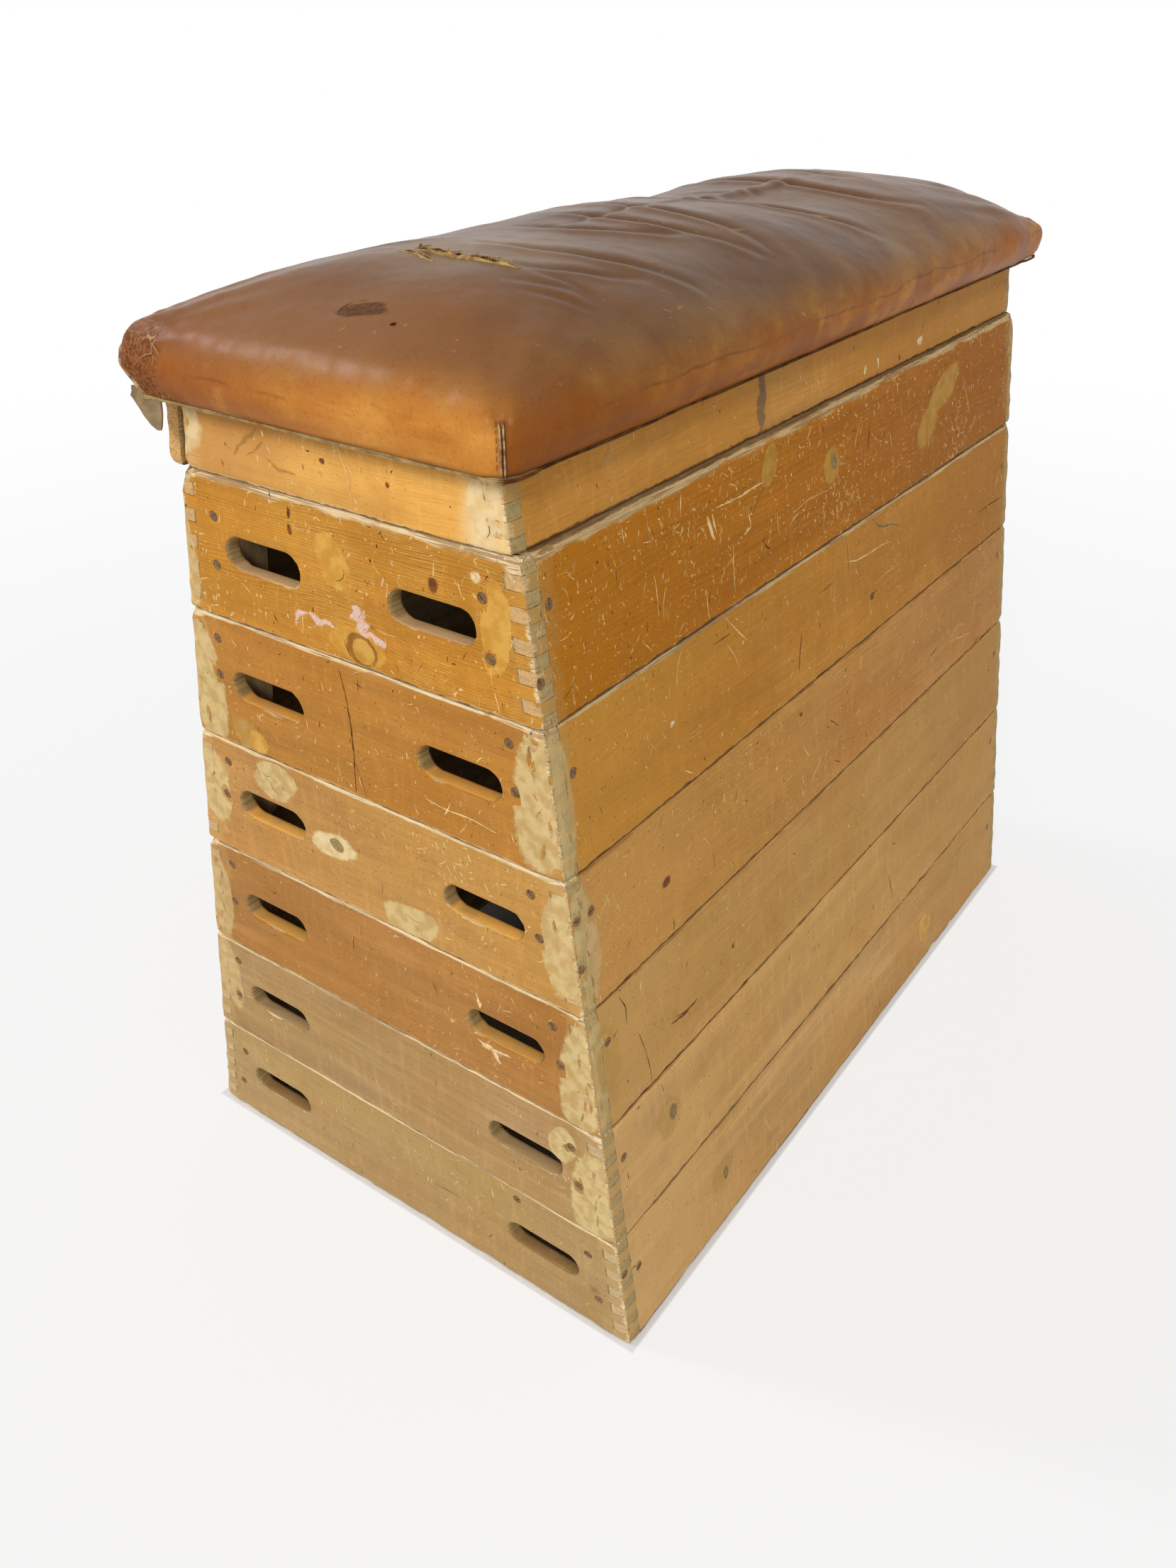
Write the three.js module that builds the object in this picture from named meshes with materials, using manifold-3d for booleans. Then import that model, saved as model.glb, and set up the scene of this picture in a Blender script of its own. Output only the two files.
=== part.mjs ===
// A gymnastics vaulting box: six hollow wooden tiers and a padded lid, stacked on corner pegs.
// Millimetres, +Z up. X runs along the box and the origin is on the floor, under its middle.
// Each tier is four finger-jointed boards and four corner posts. Its long sides lean inwards.

import * as THREE from "three";
import Module from "manifold-3d";
import { mergeVertices } from "three/addons/utils/BufferGeometryUtils.js";

const wasm = await Module();
wasm.setup();

// The stack
const boxLength = 1370;
const baseWidth = 808;
const tierCount = 6;
const tierHeight = 183;
const sideSlopeShare = 0.14;
const jointGap = 0.3;
const cutOverrun = 20;

// The boards
const endBoardThickness = 24;
const sideBoardThickness = 25;
const tierFingerCount = 11;
const lidFingerCount = 5;
const edgeRound = 3;
const arrisRound = 6;
const edgeSteps = 2;
const arrisSteps = 3;

// The hand holes in the end boards
const handHoleLength = 120;
const handHoleHeight = 40;
const handHoleInset = 135;
const handHoleEase = 2;
const handHoleSteps = 7;

// The corner posts, whose tops are the pegs that the next tier sits over
const postWidth = 44;
const postStart = 35;
const pegHeight = 30;
const pegTaper = 5;

// The lid's frame, with one long board sprung out at one end
const lidFrameHeight = 88;
const lidStepIn = 10;
const sprungBoardOut = 28;

// The padded top
const deckThickness = 18;
const deckCornerRadius = 24;
const cushionEndOverhang = 35;
const cushionSideOverhang = 34;
const leatherThickness = 3;
const paddingGap = 0.6;
const widestHeight = 38;
const sideBulge = 22;
const cornerBulge = 10;
const bulgeReach = 190;
const crownHeight = 104;
const crownPlaceShares = [-1, -0.55, -0.1, 0.25, 0.55, 0.8, 1];
const crownHeightShares = [0.9, 0.98, 0.99, 0.86, 0.94, 0.85, 0.34];
const crownRingCount = 8;
const crownCloseShare = 0.93;
const cushionCornerSteps = 3;
const cushionSideSteps = 14;
const cushionEndSteps = 4;

const halfLength = boxLength / 2;
const stackHeight = tierCount * tierHeight;
const lidTop = stackHeight + lidFrameHeight;
const quarterTurn = Math.PI / 2;

// Half the box's width over its sloped sides at a height above the floor
function halfWidthAt(height) {
  return baseWidth / 2 - sideSlopeShare * height;
}

// Geometry helpers

// A closed solid from rings of matching points, the first ring and the last closed by flat caps
function loftRings(rings) {
  const count = rings[0].length;
  const positions = rings.flat().flatMap((point) => point.toArray());
  const indices = [];
  for (let ring = 0; ring + 1 < rings.length; ring += 1) {
    for (let i = 0; i < count; i += 1) {
      const a = ring * count + i;
      const b = ring * count + (i + 1) % count;
      indices.push(a, b, b + count, a, b + count, a + count);
    }
  }
  const last = (rings.length - 1) * count;
  for (let i = 1; i + 1 < count; i += 1) {
    indices.push(0, i + 1, i, last, last + i, last + i + 1);
  }
  const geometry = new THREE.BufferGeometry();
  geometry.setAttribute("position", new THREE.Float32BufferAttribute(positions, 3));
  geometry.setIndex(indices);
  return geometry;
}

// The four corners of a level rectangle, anticlockwise from above
function rectangleRing(xLow, xHigh, yLow, yHigh, z) {
  return [
    new THREE.Vector3(xLow, yLow, z),
    new THREE.Vector3(xHigh, yLow, z),
    new THREE.Vector3(xHigh, yHigh, z),
    new THREE.Vector3(xLow, yHigh, z),
  ];
}

// A level rectangle with round corners, anticlockwise from above
function roundedRing(halfX, halfY, radius, z, steps) {
  const points = [];
  const corners = [[1, 1, 0], [-1, 1, 1], [-1, -1, 2], [1, -1, 3]];
  for (const [sideX, sideY, turn] of corners) {
    for (let i = 0; i <= steps; i += 1) {
      const angle = (turn + i / steps) * quarterTurn;
      const x = sideX * (halfX - radius) + radius * Math.cos(angle);
      const y = sideY * (halfY - radius) + radius * Math.sin(angle);
      points.push(new THREE.Vector3(x, y, z));
    }
  }
  return points;
}

function toSolid(geometry) {
  const bare = geometry.clone();
  bare.deleteAttribute("normal");
  bare.deleteAttribute("uv");
  const merged = bare.index ? bare : mergeVertices(bare);
  const vertProperties = new Float32Array(merged.attributes.position.array);
  const triVerts = new Uint32Array(merged.index.array);
  return new wasm.Manifold(new wasm.Mesh({ numProp: 3, vertProperties, triVerts }));
}

function toGeometry(solid) {
  const mesh = solid.getMesh();
  const geometry = new THREE.BufferGeometry();
  geometry.setAttribute("position", new THREE.Float32BufferAttribute(mesh.vertProperties, mesh.numProp));
  geometry.setIndex(Array.from(mesh.triVerts));
  geometry.computeVertexNormals();
  return geometry;
}

// Shapes that a frame of four boards is cut from. A frame is one tier's, or the lid's.

// The whole outer form of a frame: sloped long sides, upright ends, every edge eased
function frameBlank(frame) {
  const rings = [];
  for (let i = 0; i <= edgeSteps; i += 1) {
    const angle = (i / edgeSteps) * quarterTurn;
    const inset = edgeRound * (1 - Math.sin(angle));
    rings.push([edgeRound * (1 - Math.cos(angle)), inset]);
  }
  const upper = rings.map(([rise, inset]) => [frame.height - rise, inset]).reverse();
  return toSolid(loftRings([...rings, ...upper].map(([z, inset]) =>
    roundedRing(halfLength - inset, frame.halfWidth(z) - inset, arrisRound, z, arrisSteps))));
}

// A slab that leans with one long side. From and to are distances in from the outer face.
function leaningSlab(frame, side, from, to, xLow, xHigh, zLow, zHigh) {
  const rings = [zLow, zHigh].map((z) => {
    const outer = side * (frame.halfWidth(z) - from);
    const inner = side * (frame.halfWidth(z) - to);
    return rectangleRing(xLow, xHigh, Math.min(outer, inner), Math.max(outer, inner), z);
  });
  return toSolid(loftRings(rings));
}

// The upright block at one end of a frame, as deep as it is told
function endBlock(frame, end, depth, zLow, zHigh) {
  const outer = end * (halfLength + cutOverrun);
  const inner = end * (halfLength - depth);
  const reach = frame.halfWidth(0) + cutOverrun;
  const [xLow, xHigh] = [Math.min(outer, inner), Math.max(outer, inner)];
  return toSolid(loftRings([zLow, zHigh].map((z) => rectangleRing(xLow, xHigh, -reach, reach, z))));
}

// The heights between which each finger lies. Even fingers are the end boards', odd ones the sides'.
function fingerSpans(frame, parity) {
  const pitch = frame.height / frame.fingerCount;
  const spans = [];
  for (let i = parity; i < frame.fingerCount; i += 2) {
    const zLow = i === 0 ? -cutOverrun : i * pitch - jointGap / 2;
    const zHigh = i === frame.fingerCount - 1 ? frame.height + cutOverrun : (i + 1) * pitch + jointGap / 2;
    spans.push([zLow, zHigh]);
  }
  return spans;
}

// One hand hole: a slot with round ends, run past both faces and eased where it meets them
function handHoleCutter(end, middleY, middleZ) {
  const radius = handHoleHeight / 2;
  const stations = [
    [-cutOverrun, handHoleEase],
    [0, handHoleEase],
    [handHoleEase, 0],
    [endBoardThickness - handHoleEase, 0],
    [endBoardThickness, handHoleEase],
    [endBoardThickness + cutOverrun, handHoleEase],
  ];
  const rings = stations.map(([depth, ease]) => {
    const ring = [];
    for (const half of [1, -1]) {
      for (let i = 0; i <= handHoleSteps; i += 1) {
        const angle = -quarterTurn + (i / handHoleSteps) * 2 * quarterTurn;
        const y = half * (handHoleLength / 2 - radius + (radius + ease) * Math.cos(angle));
        const z = half * (radius + ease) * Math.sin(angle);
        ring.push(new THREE.Vector3(end * (halfLength - depth), middleY + y, middleZ + z));
      }
    }
    return end < 0 ? ring : ring.reverse();
  });
  return toSolid(loftRings(rings));
}

// The boards and posts

// The lid's sprung corner has no fingers: its long board's plain end stands clear of the end board
function isPlainCorner(frame, end, side) {
  return frame.hasPlainCorner && end === -1 && side === 1;
}

function endBoard(frame, end) {
  const block = endBlock(frame, end, endBoardThickness, -cutOverrun, frame.height + cutOverrun);
  let board = frameBlank(frame).intersect(block);
  for (const side of [-1, 1]) {
    for (const [zLow, zHigh] of isPlainCorner(frame, end, side) ? [] : fingerSpans(frame, 1)) {
      const inner = sideBoardThickness + jointGap;
      const reach = halfLength + cutOverrun;
      board = board.subtract(leaningSlab(frame, side, -cutOverrun, inner, -reach, reach, zLow, zHigh));
    }
    if (frame.hasHandHoles) {
      const middleZ = frame.height / 2;
      const middleY = side * (frame.halfWidth(middleZ) - handHoleInset);
      board = board.subtract(handHoleCutter(end, middleY, middleZ));
    }
  }
  return toGeometry(board);
}

function sideBoard(frame, side) {
  const [reach, zLow, zHigh] = [halfLength + cutOverrun, -cutOverrun, frame.height + cutOverrun];
  const slab = leaningSlab(frame, side, -cutOverrun, sideBoardThickness, -reach, reach, zLow, zHigh);
  let board = frameBlank(frame).intersect(slab);
  for (const end of [-1, 1]) {
    for (const [fingerLow, fingerHigh] of isPlainCorner(frame, end, side) ? [] : fingerSpans(frame, 0)) {
      board = board.subtract(endBlock(frame, end, endBoardThickness + jointGap, fingerLow, fingerHigh));
    }
  }
  return toGeometry(board);
}

// A square post in one corner, leaning with the long side. Its peg stands above the frame.
function cornerPost(frame, end, side) {
  const xOuter = halfLength - endBoardThickness - jointGap;
  function level(z, outerInset, taper) {
    const yOuter = frame.halfWidth(z) - sideBoardThickness - jointGap - outerInset;
    const ring = rectangleRing(
      xOuter - postWidth + taper,
      xOuter - taper,
      yOuter - postWidth + outerInset + taper,
      yOuter - taper,
      z,
    );
    return ring.map((point) => new THREE.Vector3(end * point.x, side * point.y, z));
  }
  const levels = [level(postStart, 0, 0), level(frame.height - jointGap, 0, 0)];
  if (frame.pegInset !== null) {
    levels.push(level(frame.height - jointGap, frame.pegInset, 0));
    levels.push(level(frame.height + pegHeight - pegTaper, frame.pegInset, 0));
    levels.push(level(frame.height + pegHeight, frame.pegInset, pegTaper));
  }
  return loftRings(end * side > 0 ? levels : levels.map((ring) => ring.reverse()));
}

// The padded top

const rimHalfLength = halfLength + cushionEndOverhang;
const rimHalfWidth = halfWidthAt(lidTop) - lidStepIn + cushionSideOverhang;

function smoothStep(share) {
  const held = Math.min(Math.max(share, 0), 1);
  return held * held * (3 - 2 * held);
}

// How high the crown stands at a place along the cushion, as a share of its greatest height
function crownShareAt(x) {
  const place = THREE.MathUtils.clamp(x / rimHalfLength, -1, 1);
  let i = 0;
  while (i + 2 < crownPlaceShares.length && place > crownPlaceShares[i + 1]) {
    i += 1;
  }
  const along = (place - crownPlaceShares[i]) / (crownPlaceShares[i + 1] - crownPlaceShares[i]);
  return THREE.MathUtils.lerp(crownHeightShares[i], crownHeightShares[i + 1], smoothStep(along));
}

// The plan outline of the cushion, drawn in by inset, with the outward direction at each point
function cushionLoop(inset) {
  const halfX = rimHalfLength - inset;
  const halfY = rimHalfWidth - inset;
  const radius = deckCornerRadius * (halfY / rimHalfWidth);
  const loop = [];
  const corners = [[1, 1, 0], [-1, 1, 1], [-1, -1, 2], [1, -1, 3]];
  corners.forEach(([sideX, sideY, turn], corner) => {
    const centre = new THREE.Vector2(sideX * (halfX - radius), sideY * (halfY - radius));
    for (let i = 0; i <= cushionCornerSteps; i += 1) {
      const angle = (turn + i / cushionCornerSteps) * quarterTurn;
      const outward = new THREE.Vector2(Math.cos(angle), Math.sin(angle));
      loop.push({ place: centre.clone().addScaledVector(outward, radius), outward });
    }
    const [nextX, nextY] = corners[(corner + 1) % corners.length];
    const nextCentre = new THREE.Vector2(nextX * (halfX - radius), nextY * (halfY - radius));
    const angle = (turn + 1) * quarterTurn;
    const outward = new THREE.Vector2(Math.cos(angle), Math.sin(angle));
    const steps = turn % 2 === 0 ? cushionSideSteps : cushionEndSteps;
    for (let i = 1; i < steps; i += 1) {
      const place = centre.clone().lerp(nextCentre, i / steps).addScaledVector(outward, radius);
      loop.push({ place, outward });
    }
  });
  return loop;
}

// How far the side swells at a point of the rim: least at the corners
function bulgeAt(place) {
  const fromEnd = Math.max(rimHalfLength - Math.abs(place.x), rimHalfWidth - Math.abs(place.y));
  return THREE.MathUtils.lerp(cornerBulge, sideBulge, smoothStep(fromEnd / bulgeReach));
}

// One ring of the cushion's side at a height above the rim, under a skin as thick as skin
function sideRing(height, skin) {
  const swell = Math.sin((height / widestHeight) * quarterTurn);
  const skinned = cushionLoop(skin);
  return cushionLoop(0).map(({ place, outward }, i) => {
    const moved = skinned[i].place.clone().addScaledVector(outward, bulgeAt(place) * swell);
    return new THREE.Vector3(moved.x, moved.y, height);
  });
}

// One ring of the crown, drawn in by a share of the cushion's half width
function crownRing(share, skin) {
  const inset = share * rimHalfWidth;
  const skinned = cushionLoop(inset + skin);
  return cushionLoop(inset).map(({ place, outward }, i) => {
    const fromEnd = rimHalfLength - Math.abs(place.x);
    const fromSide = rimHalfWidth - Math.abs(place.y);
    const hip = Math.min(fromEnd, fromSide) / Math.max(fromEnd, fromSide);
    const cornerShare = 1 / Math.sqrt(1 + (hip * (1 - share)) ** 2);
    const rise = Math.sqrt(1 - (1 - share * cornerShare) ** 2);
    const moved = skinned[i].place.clone().addScaledVector(outward, bulgeAt(place) * (1 - share));
    const height = widestHeight + (crownHeight * crownShareAt(place.x) - skin) * rise;
    return new THREE.Vector3(moved.x, moved.y, height);
  });
}

// The heights of the side's rings. The second is the deck's top, where the padding begins.
const sideLevels = [0, deckThickness + jointGap, (deckThickness + widestHeight) / 2, widestHeight];

function cushionRings(firstLevel, skin) {
  const rings = sideLevels.slice(firstLevel).map((height) => sideRing(height, skin));
  for (let i = 1; i <= crownRingCount; i += 1) {
    rings.push(crownRing(crownCloseShare * (i / crownRingCount) ** 1.7, skin));
  }
  return rings;
}

// Strips between rings, and a cap of strips across the innermost ring
function ringStrips(rings, first) {
  const count = rings[0].length;
  const indices = [];
  for (let ring = 0; ring + 1 < rings.length; ring += 1) {
    for (let i = 0; i < count; i += 1) {
      const a = first + ring * count + i;
      const b = first + ring * count + (i + 1) % count;
      indices.push(a, b, b + count, a, b + count, a + count);
    }
  }
  return indices.concat(loopCap(first + (rings.length - 1) * count, count));
}

// A cap over a loop, from its +X end to its -X end, between its two long runs
function loopCap(first, count) {
  const rightEnd = cushionCornerSteps + 1 + cushionSideSteps - 1 + cushionCornerSteps + 1;
  const left = Array.from({ length: rightEnd }, (_, i) => first + i);
  const right = Array.from({ length: rightEnd }, (_, i) => first + count - cushionEndSteps - i);
  const indices = [];
  for (let i = 0; i + 1 < rightEnd; i += 1) {
    indices.push(right[i], left[i], left[i + 1], right[i], left[i + 1], right[i + 1]);
  }
  const endFirst = left[rightEnd - 1];
  const endLast = right[rightEnd - 1];
  for (let i = endFirst; i + 1 < endLast; i += 1) {
    indices.push(i, i + 1, endLast);
  }
  for (let i = right[0]; i + 1 < first + count; i += 1) {
    indices.push(i, i + 1, left[0]);
  }
  return indices;
}

function indexedGeometry(points, indices) {
  const geometry = new THREE.BufferGeometry();
  const positions = points.flatMap((point) => point.toArray());
  geometry.setAttribute("position", new THREE.Float32BufferAttribute(positions, 3));
  geometry.setIndex(indices);
  geometry.computeVertexNormals();
  return geometry;
}

// The leather cover: an open-bottomed shell drawn down over the padding and the deck's edge
function leatherCover() {
  const outer = cushionRings(0, 0);
  const inner = cushionRings(0, leatherThickness);
  const count = outer[0].length;
  const innerFirst = outer.length * count;
  const inward = ringStrips(inner, innerFirst);
  const rim = [];
  for (let i = 0; i < count; i += 1) {
    const next = (i + 1) % count;
    rim.push(i, innerFirst + i, innerFirst + next, i, innerFirst + next, next);
  }
  const indices = [...ringStrips(outer, 0), ...inward.reverse(), ...rim];
  return indexedGeometry([...outer.flat(), ...inner.flat()], indices);
}

// The stuffing between the deck and the leather
function padding() {
  const rings = cushionRings(1, leatherThickness + paddingGap);
  const count = rings[0].length;
  const indices = [...ringStrips(rings, 0), ...loopCap(0, count).reverse()];
  return indexedGeometry(rings.flat(), indices);
}

function deckBoard() {
  const inset = leatherThickness + jointGap;
  const ring = (z) => roundedRing(rimHalfLength - inset, rimHalfWidth - inset,
    deckCornerRadius, z, cushionCornerSteps);
  return loftRings([ring(0), ring(deckThickness)]);
}

// Materials

function finish(color, roughness) {
  return new THREE.MeshStandardMaterial({ color, roughness, metalness: 0 });
}

const tierWoods = [0xb8996b, 0xb7935f, 0xbd925a, 0xba8b51, 0xc4904e, 0xc48a38].map((c) => finish(c, 0.5));
const lidWood = finish(0xc38a44, 0.5);
const deckWood = finish(0xc7a878, 0.7);
const postWood = finish(0xcdb384, 0.75);
const stuffing = finish(0xb9ad86, 0.95);
const leather = finish(0x8a5730, 0.42);

// The assembly

const box = new THREE.Group();

function addPiece(name, geometry, material, height) {
  const mesh = new THREE.Mesh(geometry, material);
  mesh.name = name;
  mesh.position.z = height;
  box.add(mesh);
  return mesh;
}

const ends = { left: -1, right: 1 };
const sides = { front: -1, back: 1 };

// The boards and posts of one frame, named from the tier's name
function addFrame(name, frame, wood) {
  for (const [endName, end] of Object.entries(ends)) {
    addPiece(`${name}_end_${endName}`, endBoard(frame, end), wood, frame.base);
    for (const [sideName, side] of Object.entries(sides)) {
      addPiece(`${name}_post_${endName}_${sideName}`, cornerPost(frame, end, side), postWood, frame.base);
    }
  }
  for (const [sideName, side] of Object.entries(sides)) {
    addPiece(`${name}_side_${sideName}`, sideBoard(frame, side), wood, frame.base);
  }
}

for (let tier = 0; tier < tierCount; tier += 1) {
  const base = tier * tierHeight;
  addFrame(`tier_${tier + 1}`, {
    base,
    height: tierHeight,
    fingerCount: tierFingerCount,
    hasHandHoles: true,
    hasPlainCorner: false,
    pegInset: tier === tierCount - 1 ? lidStepIn : 0,
    halfWidth: (z) => halfWidthAt(base + z),
  }, tierWoods[tier]);
}

const lidFrame = {
  base: stackHeight,
  height: lidFrameHeight,
  fingerCount: lidFingerCount,
  hasHandHoles: false,
  hasPlainCorner: true,
  pegInset: null,
  halfWidth: (z) => halfWidthAt(stackHeight + z) - lidStepIn,
};
addFrame("lid", lidFrame, lidWood);

// The lid's back board swings out about its right-hand outer corner
const sprungBoard = box.getObjectByName("lid_side_back");
const swing = -Math.asin(sprungBoardOut / boxLength);
const pivot = new THREE.Vector3(halfLength, lidFrame.halfWidth(0), 0);
const swungPivot = pivot.clone().applyAxisAngle(new THREE.Vector3(0, 0, 1), swing);
sprungBoard.rotation.z = swing;
sprungBoard.position.x = pivot.x - swungPivot.x;
sprungBoard.position.y = pivot.y - swungPivot.y;

addPiece("deck_board", deckBoard(), deckWood, lidTop);
addPiece("padding", padding(), stuffing, lidTop);
addPiece("leather_cover", leatherCover(), leather, lidTop);

export default box;
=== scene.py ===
import math
import random

import bmesh
import bpy
import numpy as np
from mathutils import Matrix, Vector, noise
from mathutils.bvhtree import BVHTree


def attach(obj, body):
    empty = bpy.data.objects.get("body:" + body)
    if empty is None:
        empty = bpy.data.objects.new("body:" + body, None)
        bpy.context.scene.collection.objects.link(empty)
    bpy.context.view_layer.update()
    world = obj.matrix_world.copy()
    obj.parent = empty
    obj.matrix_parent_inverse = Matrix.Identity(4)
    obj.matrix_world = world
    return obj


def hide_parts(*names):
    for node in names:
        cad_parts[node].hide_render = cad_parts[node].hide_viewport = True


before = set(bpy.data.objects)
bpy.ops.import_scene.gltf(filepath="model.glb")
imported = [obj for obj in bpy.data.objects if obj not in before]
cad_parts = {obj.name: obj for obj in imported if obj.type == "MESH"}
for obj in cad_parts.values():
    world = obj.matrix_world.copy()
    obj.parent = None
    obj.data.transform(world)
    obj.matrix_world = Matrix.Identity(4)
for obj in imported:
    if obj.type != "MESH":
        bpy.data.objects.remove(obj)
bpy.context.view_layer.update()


# The camera stands at head height off the box's front left corner and looks down on the lid.
# It is upright and a little wide, so the box narrows towards the floor.
def add_object(name, data):
    """A new object in the scene."""
    made = bpy.data.objects.new(name, data)
    bpy.context.scene.collection.objects.link(made)
    return made


camera_place = Vector((-1.5892, -0.9706, 1.5682))
camera_right = Vector((0.5788, -0.8154, 0.0025))
camera_up = Vector((0.4313, 0.3088, 0.8477))
camera_back = Vector((-0.6920, -0.4896, 0.5305))
camera_data = bpy.data.cameras.new("camera")
camera_data.lens = 29.3
camera_data.sensor_width = 36
camera = add_object("camera", camera_data)
camera_turn = Matrix((camera_right, camera_up, camera_back)).transposed().to_4x4()
camera.matrix_world = Matrix.Translation(camera_place) @ camera_turn
bpy.context.scene.camera = camera
bpy.context.scene.view_settings.view_transform = "Standard"


# The stage: a plain pale floor that keeps the box's shadow and runs out to white, a white
# surround that lights it evenly, a soft key lamp from the left, and a lamp behind for the sheen.
def shade(red, green, blue):
    """A colour written as it looks, 0 to 255, turned into the light it stands for."""
    linear = []
    for part in (red, green, blue):
        share = part / 255
        linear.append(share / 12.92 if share <= 0.04045 else ((share + 0.055) / 1.055) ** 2.4)
    return (*linear, 1.0)


def sum_with(operation, swapped=False):
    """What a wire does in a sum with a number or with another wire."""
    def work_out(self, other):
        return self.maths(operation, other, self) if swapped else self.maths(operation, self, other)

    return work_out


class Wire:
    """One socket of a material or of the surround, used in sums like a number."""

    __add__ = sum_with("ADD")
    __radd__ = sum_with("ADD", swapped=True)
    __sub__ = sum_with("SUBTRACT")
    __rsub__ = sum_with("SUBTRACT", swapped=True)
    __mul__ = sum_with("MULTIPLY")
    __rmul__ = sum_with("MULTIPLY", swapped=True)
    __truediv__ = sum_with("DIVIDE")
    __pow__ = sum_with("POWER")
    __mod__ = sum_with("FLOORED_MODULO")
    most = sum_with("MAXIMUM")
    least = sum_with("MINIMUM")

    def __init__(self, tree, socket=None):
        self.tree = tree
        self.socket = socket

    def node(self, kind, values=(), output=0, stops=(), **settings):
        made = self.tree.nodes.new("ShaderNode" + kind)
        for name, setting in settings.items():
            setattr(made, name, setting)
        for spot, (place, colour) in enumerate(stops):
            bands = made.color_ramp.elements
            band = bands[spot] if spot < 2 else bands.new(place)
            band.position = place
            band.color = colour
        feed(made.inputs, dict(values))
        return Wire(self.tree, made.outputs[output])

    def maths(self, operation, first, second):
        sockets = [v.socket.type for v in (first, second) if isinstance(v, Wire)]
        if "VECTOR" in sockets:
            pair = [v if isinstance(v, (Wire, tuple)) else (v, v, v) for v in (first, second)]
            return self.node("VectorMath", {0: pair[0], 1: pair[1]}, operation=operation)
        return self.node("Math", {0: first, 1: second}, operation=operation)

    def __abs__(self):
        return self.node("Math", {0: self}, operation="ABSOLUTE")

    def rise(self, low, high):
        """0 below low and 1 above high, with a soft step between."""
        ends = {"From Min": low, "From Max": high}
        return self.node("MapRange", {"Value": self, **ends}, interpolation_type="SMOOTHSTEP")

    def blend(self, none, full):
        """The colour none where this is 0, and the colour full where it is 1."""
        return self.node("Mix", {0: self, 6: none, 7: full}, output=2, data_type="RGBA")

    def cloudy(self, scale, detail, rough=0.5):
        """Noise, about 0.3 to 0.7, over this place."""
        values = {"Vector": self, "Scale": scale, "Detail": detail, "Roughness": rough}
        return self.node("TexNoise", values)

    def parts(self):
        split = self.node("SeparateXYZ", {0: self}).socket.node
        return [Wire(self.tree, socket) for socket in split.outputs]


def place_at(x, y, z):
    """A place in a material from its three coordinates."""
    return x.node("CombineXYZ", {0: x, 1: y, 2: z})


def feed(inputs, values):
    """Give sockets a number or colour, or a wire to what changes over the surface."""
    for name, value in values.items():
        if isinstance(value, Wire):
            value.tree.links.new(value.socket, inputs[name])
        else:
            inputs[name].default_value = value


def start_finish(name):
    """A new material: itself, its surface node, and the place on the piece, to draw it with."""
    material = bpy.data.materials.new(name)
    material.use_nodes = True
    surface = material.node_tree.nodes["Principled BSDF"]
    return material, surface, Wire(material.node_tree).node("TexCoord", output="Object")


def finish_surface(surface, looks, relief, depth):
    """Give a surface its looks, and raise and sink it by its relief, to a depth in metres."""
    bump = relief.node("Bump", {"Height": relief, "Strength": 1.0, "Distance": depth})
    feed(surface.inputs, {**looks, "Normal": bump})


def seen_directly(wire):
    """1 for what the camera sees straight, in a mirror or through glass, and 0 for light."""
    path = wire.node("LightPath").socket.node
    camera_ray, glossy_ray, clear_ray = [
        Wire(wire.tree, path.outputs[name])
        for name in ("Is Camera Ray", "Is Glossy Ray", "Is Transmission Ray")
    ]
    return camera_ray.most(glossy_ray).most(clear_ray)


surround_light = 0.46
surround = bpy.data.worlds.new("surround")
surround.use_nodes = True
bpy.context.scene.world = surround
surround_wire = Wire(surround.node_tree)
surround_node = surround.node_tree.nodes["Background"]
surround_level = seen_directly(surround_wire) * (1 - surround_light) + surround_light
feed(surround_node.inputs, {"Color": (1, 1, 1, 1), "Strength": surround_level})

floor_radius = 40
floor_fade = (1.2, 5.0)
floor_veil = 0.68
floor_drop = 0.0005
box_foot = (0.69, 0.41)
floor_mesh = bpy.data.meshes.new("floor")
floor_form = bmesh.new()
bmesh.ops.create_circle(floor_form, cap_ends=True, segments=96, radius=floor_radius)
floor_form.to_mesh(floor_mesh)
floor_form.free()
floor = add_object("floor", floor_mesh)
floor.location.z = -floor_drop
floor_paint, surface, coords = start_finish("floor_paint")
x, y, z = coords.parts()
far = ((x * x + y * y) ** 0.5).rise(*floor_fade)
feed(surface.inputs, {"Base Color": (0.86, 0.86, 0.86, 1), "Roughness": 0.9})
white = coords.node("Emission", {"Color": (1, 1, 1, 1), "Strength": 1.0})
under_box = (abs(x) - box_foot[0]).most(abs(y) - box_foot[1]).rise(0.0, 0.004)
veil = seen_directly(coords) * (far * (1 - floor_veil) + floor_veil) * under_box
mixed = coords.node("MixShader", {0: veil, 1: Wire(coords.tree, surface.outputs[0]), 2: white})
feed(coords.tree.nodes["Material Output"].inputs, {"Surface": mixed})
floor_mesh.materials.append(floor_paint)


def hang_lamp(name, kind, place, aim, **settings):
    data = bpy.data.lights.new(name, kind)
    for setting, value in settings.items():
        setattr(data, setting, value)
    lamp = add_object(name, data)
    lamp.location = place
    lamp.rotation_euler = (Vector(place) - Vector(aim)).to_track_quat("Z", "Y").to_euler()


box_middle = (0, 0, 0.7)
hang_lamp("key_lamp", "SUN", (-4.2, -1.5, 3.6), box_middle, energy=1.75, angle=0.3)
hang_lamp("sheen_lamp", "SUN", (-1.0, 3.6, 3.9), box_middle, energy=0.5, angle=0.12)


# The boards: end boards and sloping long boards of old pine, finger-jointed at the corners,
# glued, and varnished amber. Their top edges and corners are worn round and chipped.
base_half_width = 0.404
side_slope = 0.14


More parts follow.
